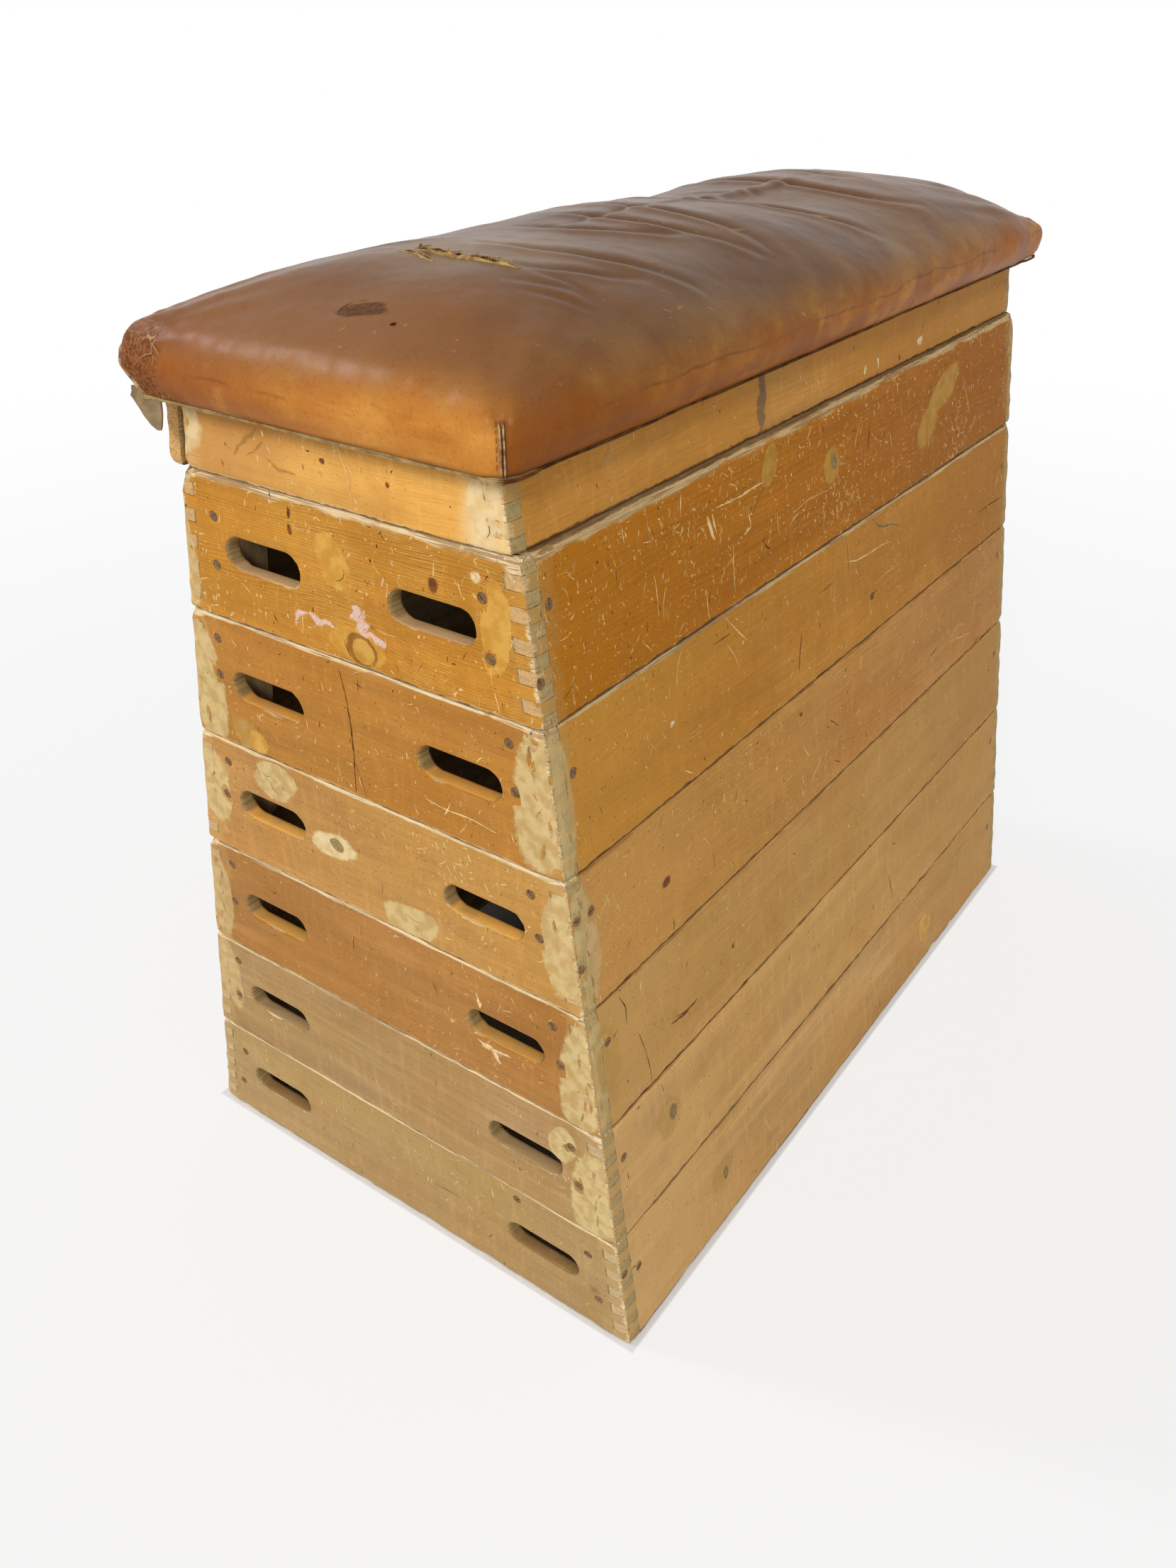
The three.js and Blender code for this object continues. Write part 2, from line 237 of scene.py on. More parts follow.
class BoxFrame:
    """One tier, or the lid's frame: four boards that share a height and an outer form."""

    def __init__(self, name, base, height, fingers, step_in):
        self.name = name
        self.base = base
        self.height = height
        self.fingers = fingers
        self.step_in = step_in
        self.has_holes = step_in == 0
        self.seed = 11 + round(base * 1000)

    def half_width(self, height):
        """Half the width over the sloped sides, at a height above the frame's foot."""
        return base_half_width - side_slope * (self.base + height) - self.step_in


tier_height = 0.183
tiers = [BoxFrame(f"tier_{n + 1}", n * tier_height, tier_height, 11, 0) for n in range(6)]
lid_frame = BoxFrame("lid", 6 * tier_height, 0.088, 5, 0.01)
frames = tiers + [lid_frame]

half_length = 0.685
end_thickness = 0.024
side_thickness = 0.025
corner_radius = 0.005
station_gap = 0.007
corner_offsets = (0.0015, 0.004, 0.008, 0.013, 0.019)
round_steps = 4
face_steps = 11


def bell(away, width):
    """1 where away is 0, and next to nothing beyond two widths."""
    return np.exp(-((away / width) ** 2))


def ramp(values, low, width):
    """0 up to low, rising evenly to 1 over a width."""
    return np.clip((values - low) / width, 0, 1)


def wander(place, scale, seed):
    """A smooth random number, about -1 to 1, that changes over a distance of scale."""
    point = Vector(place) / scale
    return 1.6 * noise.noise(point + Vector((seed * 1.7, seed * 0.31, seed * 0.77)))


def waves(points, scale, seed):
    """wander at each point of a list."""
    return np.array([wander(tuple(p), scale, seed) for p in points])


def run_places(length):
    """Shares from -1 to 1 along a straight run between two corners, close near the corners."""
    near = [offset / (length / 2) for offset in corner_offsets]
    count = round((length - 2 * corner_offsets[-1]) / station_gap)
    middle = np.linspace(-1 + near[-1], 1 - near[-1], count + 1)
    return [-1 + n for n in near[:-1]] + list(middle) + [1 - n for n in reversed(near[:-1])]


# The corners of a plan, anticlockwise: the side in x and in y, and the quarter turns so far
plan_corners = ((1, 1, 0), (-1, 1, 1), (-1, -1, 2), (1, -1, 3))


def plan_stations():
    """Round the frame, anticlockwise: the anchor share in x and y, and the outward way."""
    stations = []
    for spot, (x_side, y_side, turn) in enumerate(plan_corners):
        for step in range(round_steps + 1):
            angle = (turn + step / round_steps) * math.pi / 2
            stations.append((x_side, y_side, math.cos(angle), math.sin(angle)))
        angle = (turn + 1) * math.pi / 2
        way = (math.cos(angle), math.sin(angle))
        next_x, next_y, _ = plan_corners[(spot + 1) % 4]
        run = 2 * half_length if turn % 2 == 0 else 0.66
        for share in run_places(run):
            along = (share + 1) / 2
            stations.append(
                (x_side + (next_x - x_side) * along, y_side + (next_y - y_side) * along, *way)
            )
    return np.array(stations)


# How far wear reaches down each face from the top edge and up from the foot, and how deep,
# in millimetres: (top reach, top depth, foot reach, foot depth)
edge_wear = {
    "tier_1": (2.8, 1.6, 3.4, 2.0),
    "tier_2": (2.8, 1.6, 3.2, 2.2),
    "tier_3": (3.8, 2.2, 3.2, 2.2),
    "tier_4": (4.2, 2.4, 3.4, 2.2),
    "tier_5": (4.6, 2.6, 3.6, 2.4),
    "tier_6": (8.4, 4.8, 4.0, 2.6),
    "lid": (2.0, 1.2, 3.6, 2.2),
}
chip_count = 48
corner_reach = 0.02
arris_reach = 0.005


def frame_form(box):
    """The whole worn outer form of a frame, as rings of points from its foot to its top."""
    rng = random.Random(box.seed)
    stations = plan_stations()
    middle_width = box.half_width(box.height / 2)
    plan = stations[:, :2] * (half_length, middle_width)
    level_plan = np.column_stack([plan, np.zeros(len(plan))])
    corner_away = np.hypot(half_length - np.abs(plan[:, 0]), middle_width - np.abs(plan[:, 1]))
    corner_share = bell(corner_away, corner_reach)
    arris_share = bell(corner_away, arris_reach)
    top_reach, top_depth, foot_reach, foot_depth = [mm / 1000 for mm in edge_wear[box.name]]
    wear = []
    for reach, depth, seed, lift in (
        (foot_reach, foot_depth, 3, 0.6), (top_reach, top_depth, 8, 2.2),
    ):
        slow = waves(level_plan, 0.16, box.seed + seed)
        quick = waves(level_plan, 0.022, box.seed + seed + 1)
        fine = waves(level_plan, 0.009, box.seed + seed + 2)
        strength = np.clip(1 + 0.45 * slow + 0.3 * quick + 0.12 * fine, 0.25, 2.2)
        strength = strength * (1 + lift * corner_share)
        reaches, depths = reach * strength, depth * strength
        for _ in range(chip_count):
            spot = plan[rng.randrange(len(plan))]
            wide, deep = rng.uniform(0.004, 0.016), rng.uniform(0.0004, 0.0022)
            bite = bell(np.hypot(*(plan - spot).T), wide)
            depths = depths + deep * bite
            reaches = reaches + 2.2 * deep * bite
        wear.append((reaches, depths))
    (foot_reaches, foot_depths), (top_reaches, top_depths) = wear
    levels = []
    for step in range(round_steps, -1, -1):
        angle = step / round_steps * math.pi / 2
        levels.append((foot_reaches * (1 - math.sin(angle)), foot_depths * (1 - math.cos(angle))))
    for step in range(1, face_steps):
        share = step / face_steps
        rise = foot_reaches + (box.height - foot_reaches - top_reaches) * share
        levels.append((rise, np.zeros(len(plan))))
    for step in range(round_steps + 1):
        angle = step / round_steps * math.pi / 2
        drop = top_reaches * (1 - math.sin(angle))
        levels.append((box.height - drop, top_depths * (1 - math.cos(angle))))
    rings = []
    for rise, inset in levels:
        arris = 0.0012 + 0.0011 * waves(np.column_stack([plan, rise]), 0.013, box.seed + 5)
        inset = inset + arris * arris_share
        width = box.half_width(rise)
        x = stations[:, 0] * (half_length - corner_radius)
        y = stations[:, 1] * (width - corner_radius)
        x = x + stations[:, 2] * (corner_radius - inset)
        y = y + stations[:, 3] * (corner_radius - inset)
        rings.append(np.stack([x, y, box.base + rise], axis=1))
    return rings


def face_outward(form):
    """Turn the faces of a closed form the right way out."""
    bmesh.ops.recalc_face_normals(form, faces=form.faces)
    if form.calc_volume(signed=True) < 0:
        bmesh.ops.reverse_faces(form, faces=form.faces)


def loft(rings, endless=False):
    """A closed mesh over rings of matching points: capped at each end, or run round to its start."""
    count = len(rings[0])
    points = [tuple(p) for ring in rings for p in ring]
    faces = []
    for ring in range(len(rings) if endless else len(rings) - 1):
        first, after = ring * count, (ring + 1) % len(rings) * count
        for i in range(count):
            j = (i + 1) % count
            faces.append((first + i, first + j, after + j, after + i))
    if not endless:
        faces.append(tuple(range(count - 1, -1, -1)))
        faces.append(tuple(range(len(points) - count, len(points))))
    mesh = bpy.data.meshes.new("form")
    mesh.from_pydata(points, [], faces)
    form = bmesh.new()
    form.from_mesh(mesh)
    face_outward(form)
    form.to_mesh(mesh)
    form.free()
    return mesh


def joined(meshes):
    """Several closed meshes as one."""
    form = bmesh.new()
    for mesh in meshes:
        form.from_mesh(mesh)
    whole = bpy.data.meshes.new("form")
    form.to_mesh(whole)
    form.free()
    return whole


def with_modifiers(piece):
    """The piece's mesh as its modifiers leave it."""
    bpy.context.view_layer.update()
    graph = bpy.context.evaluated_depsgraph_get()
    return bpy.data.meshes.new_from_object(piece.evaluated_get(graph))


def carved(mesh, *cuts):
    """The mesh after Boolean cuts, each an operation and a tool mesh."""
    work = add_object("work", mesh)
    tools = []
    for operation, tool_mesh in cuts:
        tool = add_object("tool", tool_mesh)
        tools.append(tool)
        cut = work.modifiers.new("cut", "BOOLEAN")
        cut.operation = operation
        cut.solver = "MANIFOLD"
        cut.object = tool
    result = with_modifiers(work)
    for item in [work, *tools]:
        bpy.data.objects.remove(item)
    return result


def finger_lines(box, end, side):
    """The heights of a corner's finger joints, hand-cut, with the gap and easing of each."""
    rng = random.Random(box.seed * 7 + end * 2 + side)
    pitch = box.height / box.fingers
    lines = []
    for i in range(box.fingers + 1):
        slip = rng.uniform(-0.0005, 0.0005)
        lines.append((i * pitch + slip, rng.uniform(0.00005, 0.0002), rng.uniform(0.0002, 0.0006)))
    return lines


cut_overrun = 0.02
tip_overrun = 0.001
root_gap = 0.0003
root_ease = 0.0006
ease_depth = 0.0008
face_ease = 1.4


def is_plain_corner(box, end, side):
    """The lid's sprung corner, where neither board is cut for fingers."""
    return box.name == "lid" and end == -1 and side == 1


def comb_edge(box, end, side, kind, eased):
    """One toothed edge of a board, from foot to top, as (distance out, height) points.

    kind is 0 for an end board, 1 for a long board. eased draws the teeth in, as they are
    where their edges are rubbed off at the face.
    """
    def tip(height):
        return box.half_width(height) if kind == 0 else half_length

    def root(height):
        return tip(height) - (side_thickness, end_thickness)[kind] - root_gap

    if is_plain_corner(box, end, side):
        low, high = -cut_overrun, box.height + cut_overrun
        return [(tip(low) + tip_overrun, low), (tip(high) + tip_overrun, high)]
    lines = finger_lines(box, end, side)
    edge = []
    for i in range(box.fingers):
        (low, low_gap, low_ease), (high, high_gap, high_ease) = lines[i], lines[i + 1]
        low_open = i == 0
        high_open = i == box.fingers - 1
        low = -cut_overrun if low_open else low + low_gap + eased * low_ease
        high = box.height + cut_overrun if high_open else high - high_gap - eased * high_ease
        is_tooth = i % 2 == kind
        if is_tooth != low_open:
            edge.append((root(low) - eased * root_ease, low))
        if is_tooth:
            low_slope = 0 if low_open else low_ease + tip_overrun
            high_slope = 0 if high_open else high_ease + tip_overrun
            edge.append((tip(low) - low_ease, low))
            edge.append((tip(low) + tip_overrun, low + low_slope))
            edge.append((tip(high) + tip_overrun, high - high_slope))
            edge.append((tip(high) - high_ease, high))
        if is_tooth != high_open:
            edge.append((root(high) - eased * root_ease, high))
    return edge


def board_tool(box, kind, way):
    """What a board takes of its frame's form: a slab with toothed edges, on the way's side."""
    rings = []
    thickness = (end_thickness, side_thickness)[kind]
    for inward, eased in ((thickness, 0), (ease_depth, 0), (-tip_overrun, face_ease)):
        edges = []
        for far in (-1, 1):
            end, side = ((way, far), (far, way))[kind]
            edges.append([(far * out, h) for out, h in comb_edge(box, end, side, kind, eased)])
        outline = edges[1] + edges[0][::-1]
        if kind == 0:
            ring = [(way * (half_length - inward), y, box.base + h) for y, h in outline]
        else:
            ring = [(x, way * (box.half_width(h) - inward), box.base + h) for x, h in outline]
        rings.append(np.array(ring))
    return loft(rings)


hole_length = 0.12
hole_height = 0.04
hole_inset = 0.135
hole_points = 40


def hole_middle(box, side):
    return side * (box.half_width(box.height / 2) - hole_inset)


def hand_hole_tool(box, end, side):
    """One hand hole: a slot with round ends, its rims rubbed round by hands."""
    rings = []
    depths = (-0.004, 0.0, 0.0008, 0.0025, 0.006, 0.018, 0.0215, 0.0232, 0.024, 0.028)
    flares = (0.0034, 0.0034, 0.0020, 0.0008, 0.0, 0.0, 0.0008, 0.0020, 0.0034, 0.0034)
    radius = hole_height / 2
    for depth, flare in zip(depths, flares):
        ring = []
        for i in range(hole_points):
            half = 1 if i < hole_points // 2 else -1
            turn = (i % (hole_points // 2)) / (hole_points // 2 - 1)
            angle = -math.pi / 2 + turn * math.pi
            out = (half * math.cos(angle), half * math.sin(angle))
            rub = flare * (1 + 0.45 * wander((out[0] * 0.05 + side, out[1] * 0.05, end), 0.02, box.seed))
            reach = radius + rub + 0.0004 * wander((out[0], out[1], end), 0.4, box.seed)
            y = hole_middle(box, side) + half * (hole_length / 2 - radius) + reach * out[0]
            z = box.base + box.height / 2 + reach * out[1]
            ring.append((end * (half_length - depth), y, z))
        rings.append(np.array(ring))
    return loft(rings)


# The varnish, board by board, as it looks lit: (end boards, long boards), then how strongly
# the growth rings, the nicks and the pale stopping at the corners show, ends then sides
board_tones = {
    "lid": ((234, 176, 90), (206, 149, 74), (0.12, 0.1), (0.35, 0.3), (0.3, 0.3)),
    "tier_6": ((194, 134, 48), (176, 111, 25), (0.5, 0.3), (0.9, 1.15), (0.1, 0.3)),
    "tier_5": ((184, 127, 56), (190, 133, 54), (0.16, 0.12), (0.5, 0.5), (0.3, 0.4)),
    "tier_4": ((196, 146, 84), (194, 141, 76), (0.3, 0.18), (0.6, 0.7), (0.3, 0.35)),
    "tier_3": ((176, 125, 66), (194, 147, 86), (0.14, 0.14), (0.35, 0.35), (0.3, 0.4)),
    "tier_2": ((181, 147, 102), (206, 161, 100), (0.75, 0.15), (0.3, 0.3), (0.3, 0.3)),
    "tier_1": ((180, 148, 102), (206, 162, 102), (0.18, 0.16), (0.35, 0.35), (0.3, 0.3)),
}
# The walls of each frame's hand holes, where old varnish has run in. They are painted lighter than the
# boards, as painted light falling into the holes.
lit_hole_tones = {
    "lid": (234, 176, 90), "tier_6": (212, 172, 122), "tier_5": (232, 168, 80),
    "tier_4": (246, 184, 92), "tier_3": (224, 168, 86), "tier_2": (186, 154, 108),
    "tier_1": (164, 128, 80),
}


def scaled(colour, share):
    return tuple(min(255, part * share) for part in colour)


def board_finish(box, kind):
    """Old varnished pine. kind is 0 for an end board, 1 for a long board."""
    tones = board_tones[box.name]
    tone, rings_show, nicks_show, stopping = (
        tones[kind], tones[2][kind], tones[3][kind], tones[4][kind]
    )
    label = ("ends", "sides")[kind]
    material, surface, coords = start_finish(f"{box.name}_{label}_varnished_pine")
    x, y, z = coords.parts()
    along, through = (y, x) if kind == 0 else (x, y)
    height = z - box.base
    seed = box.seed * 0.173 + kind * 7.7

    def grain(long_scale, cross_scale, detail, shift, rough=0.55):
        spot = place_at(along * long_scale + seed + shift, z * cross_scale, through * cross_scale)
        return spot.cloudy(1.0, detail, rough)

    def mottle(scale, detail, shift):
        return (coords + (seed + shift, seed, shift)).cloudy(scale, detail, 0.6)

    def toned(red, green=None, blue=None):
        """The board's tone with its parts times these shares, or all times the first."""
        shares = (red, green or red, blue or red)
        return shade(*(min(255, part * share) for part, share in zip(tone, shares)))

    swirl = grain(2.0, 6.0, 1.5, 1.0)
    ring_place = (z + swirl * 0.09 + through * 0.4) * (300, 120)[kind] + grain(9.0, 60.0, 2.0, 2.0) * 1.2
    year = ring_place % 1.0
    year_values = {"W": ring_place, "Scale": 0.25, "Detail": 1.0}
    year_strength = coords.node("TexNoise", year_values, noise_dimensions="1D").rise(0.3, 0.65)
    ring_lines = year.rise(0.25, 0.85) * (1 - year.rise(0.88, 1.0)) * (year_strength * 0.8 + 0.2)
    streaks = grain(1.3, 26.0, 4.0, 3.0).rise(0.3, 0.7)
    fibres = grain(14.0, 520.0, 3.0, 4.0, 0.7)
    hairs = grain(60.0, 1900.0, 1.0, 4.5)
    drift = mottle(4.2, 3.0, 5.0).rise(0.34, 0.66)
    shadowy = grain(2.2, 9.0, 4.0, 5.5).rise(0.5, 0.75)
    blotches = mottle(21.0, 4.0, 6.0).rise(0.5, 0.7)

    colour = streaks.blend(toned(0.91), toned(1.08))
    colour = (drift * 0.8).blend(colour, toned(0.98, 0.93, 0.78))
    yellower = grain(0.9, 3.4, 3.0, 8.5).rise(0.46, 0.62)
    colour = (yellower * 0.6).blend(colour, toned(1.0, 1.01, 0.88))
    colour = (shadowy * 0.5).blend(colour, toned(0.86, 0.82, 0.76))
    late_wood = ring_lines * (0.9 * rings_show + 0.05)
    colour = late_wood.blend(colour, toned(0.78, 0.7, 0.55))
    colour = (fibres.rise(0.5, 0.62) * 0.16).blend(colour, toned(0.72))
    colour = ((1 - fibres).rise(0.54, 0.66) * 0.14).blend(colour, toned(1.22))
    colour = (hairs.rise(0.52, 0.66) * 0.16).blend(colour, toned(0.74))
    chatter = place_at(along * 95 + seed, z * 11, through * 95).cloudy(1.0, 2.0)
    colour = (chatter.rise(0.5, 0.75) * 0.2).blend(colour, toned(1.16))
    colour = (blotches * 0.22).blend(colour, toned(0.84, 0.76, 0.6))
    # Painted light: the long boards of the tiers are painted lighter towards their left ends.
    if kind == 1 and box.name != "lid":
        painted_near_light = (0.0 - x + (drift - 0.5) * 0.2).rise(0.3, 0.66)
        colour = (painted_near_light * 0.45).blend(colour, toned(1.08, 1.12, 1.2))
    # Painted shade: the long boards are painted darker towards their right ends, most on the top tiers and
    # the lid.
    if kind == 1:
        painted_far_shade = (x + (drift - 0.5) * 0.2).rise(-0.05, 0.6)
        painted_far_shade = painted_far_shade * (0.65 if box.base > 0.6 else 0.4)
        colour = painted_far_shade.blend(colour, toned(0.84, 0.78, 0.6))
    if box.name == "lid" and kind == 0:
        dull_part = (y + (drift - 0.5) * 0.16).rise(-0.14, 0.14)
        colour = (dull_part * 0.8).blend(colour, streaks.blend(shade(178, 122, 60), shade(198, 142, 78)))
        scrape = (abs(y) + (drift - 0.5) * 0.08).rise(0.2, 0.25) * fibres.rise(0.4, 0.6)
        colour = (scrape * 0.6).blend(colour, shade(222, 186, 126))
        cream_end = (0.0 - y + (drift - 0.5) * 0.05).rise(0.165, 0.215)
        colour = (cream_end * 0.8).blend(colour, shade(240, 218, 168))
    if box.name == "tier_6" and kind == 0:
        patchwork = mottle(9.0, 3.0, 17.0).rise(0.43, 0.6)
        scrubbed = (patchwork * (0.1 - y).rise(-0.1, 0.1) + 0.08) * fibres.rise(0.4, 0.6)
        scrubbed = scrubbed * (ring_place * 1.7 % 1.0).rise(0.55, 0.85)
        colour = (scrubbed * 0.6).blend(colour, shade(240, 198, 112))
    specks = mottle(300.0, 1.0, 7.0).rise(0.72, 0.75)
    speck_show = 0.3 if box.name == "lid" else 0.75
    colour = (specks * speck_show).blend(colour, shade(84, 50, 26))
    chips = mottle(230.0, 1.0, 8.0).rise(0.70, 0.73) * min(1.0, nicks_show)
    colour = (chips * 0.6).blend(colour, shade(236, 202, 140))

    end_away = half_length - abs(x)
    side_away = (base_half_width - box.step_in) - side_slope * z - abs(y)
    corner_away, depth_in = ((side_away, end_away), (end_away, side_away))[kind]
    pitch = box.height / box.fingers

    patchy = mottle(24.0, 3.0, 9.0)
    stop_edge = corner_away - (patchy - 0.5) * 0.05 - (mottle(7.0, 1.0, 10.0) - 0.5) * 0.09
    stop_mask = (1 - stop_edge.rise(0.022, 0.036)) * stopping
    putty_tone = (224, 190, 118) if kind == 0 else (196, 166, 106)
    putty = patchy.rise(0.35, 0.65).blend(shade(*putty_tone), shade(*scaled(putty_tone, 0.86)))
    colour = (stop_mask * (patchy * 0.5 + 0.45)).blend(colour, putty)
    in_joint = 1 - corner_away.rise(0.0243, 0.0250)
    if box.name == "lid":
        in_joint = in_joint * (1 - (0.0 - x).rise(0.0, 0.01) * y.rise(0.0, 0.01))
    joint_tone = scaled(tone, 1.06) if kind == 0 else (178, 148, 94)
    colour = (in_joint * (0.3, 0.65)[kind]).blend(colour, shade(*joint_tone))

    top_away = box.height - height
    rub_noise = grain(14.0, 60.0, 3.0, 11.0) * 0.6 + patchy * 0.4
    reach = edge_wear[box.name][0] / 1000
    ragged = rub_noise - 0.5
    corner_wear = 1 - corner_away.rise(0.0, 0.035)
    top_reach = corner_wear * reach * 1.8 + reach
    top_rub = 1 - (top_away / top_reach - ragged * 3.0).rise(0.6, 1.25)
    foot_rub = 1 - (height - ragged * 0.012).rise(0.0015, 0.0045)
    arris_rub = 1 - (corner_away - ragged * 0.035).rise(0.003, 0.0065)
    rub = top_rub.most(foot_rub * 0.6).most(arris_rub * 0.9)
    on_face = 1 - depth_in.rise(0.003, 0.007)
    if kind == 0 and box.has_holes:
        hole_y = abs(abs(y) - abs(hole_middle(box, 1)))
        hole_z = z - (box.base + box.height / 2)
        run = (hole_y - (hole_length - hole_height) / 2).most(0.0)
        hole_away = (run * run + hole_z * hole_z) ** 0.5 - hole_height / 2
        low_rim = (0.0 - hole_z).rise(0.008, 0.018)
        hole_rub = 1 - (hole_away - (rub_noise - 0.58) * 0.02 - low_rim * 0.0008).rise(0.0006, 0.0022)
        rub = rub.most(hole_rub * on_face * 0.85)
    worn_tone = (246, 220, 172) if kind == 0 else (212, 184, 134)
    if kind == 1 and box.base < 0.7:
        worn_tone = scaled(tone, 1.04)
    worn = fibres.rise(0.4, 0.66).blend(shade(*worn_tone), shade(*scaled(worn_tone, 0.8)))
    cracks = grain(6.0, 190.0, 2.0, 11.5, 0.7).rise(0.54, 0.6)
    worn = (cracks * 0.6).blend(worn, shade(142, 88, 48))
    colour = (rub * 0.9).blend(colour, worn)

    nick_fields = []
    for lean, shift in ((0.35, 0.0), (-0.5, 31.0), (1.25, 57.0)):
        turned_along = along * (205 * math.cos(lean)) + z * (205 * math.sin(lean))
        turned_up = z * (52 * math.cos(lean)) - along * (52 * math.sin(lean))
        field = place_at(turned_along + seed, turned_up + shift, through * 150)
        nick_fields.append(field.cloudy(1.0, 1.0))
    nick_crowd = mottle(5.0, 2.0, 12.0)
    nick_level = 0.785 - 0.05 * nicks_show
    crowded = (nick_crowd - 0.5) * 0.45
    nick_noise = nick_fields[0].most(nick_fields[1]).most(nick_fields[2])
    nicks = (nick_noise + crowded).rise(nick_level + 0.012, nick_level + 0.03)
    nicks = nicks * min(1.0, nicks_show + 0.2)
    nick_tone = (240, 208, 144) if kind == 0 else (218, 184, 118)
    colour = (nicks * 0.62).blend(colour, shade(*nick_tone))

    # A noise for the grime on the bare inner faces, and for the ragged edge of the painted shade in the
    # gaps between tiers.
    grime_and_shade_noise = mottle(60.0, 2.0, 13.0)
    gap_reach = (0.0012, 0.0024)[kind]
    # Painted shade: a dark line along each board's foot and its top edge stands in for the shade in the
    # crevice where the tiers meet.
    foot_gap_shade = 1 - (height - (grime_and_shade_noise - 0.5) * 0.007).rise(gap_reach, gap_reach * 2)
    top_gap_shade = 1 - (top_away - (grime_and_shade_noise - 0.5) * 0.002).rise(0.0, gap_reach * 0.6)
    line_away = abs((height / pitch + 0.5) % 1.0 - 0.5) * pitch
    joint_lines = (1 - line_away.rise(0.0001, 0.0006)) * in_joint
    own_row = (height / (2 * pitch)) % 1.0
    other_row = own_row.rise(0.49, 0.51) if kind == 0 else 1 - own_row.rise(0.49, 0.51)
    root_line = (1 - abs(corner_away - 0.0246).rise(0.0001, 0.0007)) * other_row * in_joint
    broken = mottle(110.0, 2.0, 13.5).rise(0.44, 0.6)
    # The dark finger-joint lines are dirt in the joints; the lines along the foot and top edge are painted
    # shade in the gaps between tiers.
    joint_dirt_and_gap_shade = joint_lines.most(root_line) * broken * (0.6, 0.8)[kind]
    joint_dirt_and_gap_shade = joint_dirt_and_gap_shade.most(foot_gap_shade * on_face * 0.9).most(top_gap_shade * (0.35, 0.7)[kind])
    colour = (joint_dirt_and_gap_shade * 0.85).blend(colour, shade(72, 46, 26))

    normal_x, normal_y, _ = coords.node("TexCoord", output="Normal").parts()
    end_facing = abs(normal_y) if kind == 0 else abs(normal_x)
    end_grain = end_facing.rise(0.6, 0.8)
    pores = mottle(420.0, 2.0, 14.0).rise(0.4, 0.62)
    row_values = {"W": height / pitch * 3.1 + seed, "Scale": 1.0}
    row_noise = coords.node("TexNoise", row_values, noise_dimensions="1D").rise(0.4, 0.6)
    if kind == 0:
        tip_tones = ((156, 130, 84), (180, 152, 100))
    else:
        tip_tones = (scaled(board_tones[box.name][0], 0.94), scaled(board_tones[box.name][0], 1.06))
    tip_years = ((z * 150 + along * 40 + through * 260 + swirl * 8) % 1.0).rise(0.4, 0.95)
    grain_pale = row_noise.blend(shade(*tip_tones[0]), shade(*tip_tones[1]))
    end_colour = (pores * 0.16).blend(grain_pale, shade(*scaled(tip_tones[0], 0.8)))
    end_colour = (tip_years * 0.12).blend(end_colour, shade(*scaled(tip_tones[0], 0.78)))
    tip_rub = (192, 166, 116) if kind == 0 else (226, 202, 158)
    end_colour = (rub * 0.5).blend(end_colour, shade(*tip_rub))
    # The same joint dirt and painted gap shade darken the end grain.
    end_colour = (joint_dirt_and_gap_shade * 0.8).blend(end_colour, shade(72, 46, 26))
    if box.name == "lid" and kind == 1:
        raw_end = (0.0 - x).rise(0.0, 0.01) * y.rise(0.0, 0.01)
        raw_tone = pores.blend(shade(226, 180, 118), shade(196, 150, 92))
        end_colour = raw_end.blend(end_colour, raw_tone)
    colour = end_grain.blend(colour, end_colour)

    bare = depth_in.rise(0.0225, 0.0235)
    bare_colour = streaks.blend(shade(150, 124, 86), shade(186, 160, 118))
    bare_colour = (grime_and_shade_noise.rise(0.4, 0.7) * 0.4).blend(bare_colour, shade(116, 94, 64))
    inside_rim = depth_in.rise(0.0015, 0.0035) * (1 - end_grain)
    if kind == 0 and box.has_holes:
        inside_rim = inside_rim * (1 - hole_away.rise(0.002, 0.004))
    hole_turn = abs(normal_y).rise(0.35, 0.8)
    hole_dust = (patchy.rise(0.5, 0.66) * 0.4).most(hole_turn * 0.9)
    dusty = hole_turn.blend(shade(196, 160, 106), shade(140, 108, 82))
    # Painted light: the hole walls take the lighter tones above, standing in for the light that falls into
    # the holes.
    hole_colour = hole_dust.blend(shade(*lit_hole_tones[box.name]), dusty)
    hole_colour = (hairs.rise(0.5, 0.7) * 0.12).blend(hole_colour, shade(112, 80, 46))
    if kind == 0 and box.has_holes:
        colour = inside_rim.blend(colour, hole_colour)
    colour = bare.blend(colour, bare_colour)

    gloss = 0.36 + patchy * 0.16 + rub * 0.3 + nicks * 0.2 + bare * 0.2 + stop_mask * 0.12
    looks = {
        "Base Color": colour, "Roughness": gloss.least(0.9), "Specular IOR Level": (0.07, 0.03)[kind],
    }
    relief = ring_lines * (-0.35 * rings_show) + fibres * 0.45 - nicks * 0.9 + drift * 0.8
    relief = relief + mottle(38.0, 2.0, 16.0) * 1.6 - specks * 0.8
    relief = relief + rub * ((grain(60.0, 300.0, 2.0, 15.0) - 0.5) * 2.2 - cracks * 1.6)
    relief = relief - pores * end_grain * 0.5 - joint_dirt_and_gap_shade * 0.8
    finish_surface(surface, looks, relief, 0.0004)
    return material


lid_spring = 0.028
smooth_angle = math.radians(38)
carriers = {}


def smoothed(mesh):
    for face in mesh.polygons:
        face.use_smooth = True
    mesh.set_sharp_from_angle(angle=smooth_angle)


def place_piece(name, mesh, material, body):
    """A finished piece in the scene, riding on its body."""
    piece = add_object(name, mesh)
    if material is not None:
        smoothed(mesh)
        mesh.materials.clear()
        mesh.materials.append(material)
    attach(piece, body)
    return piece


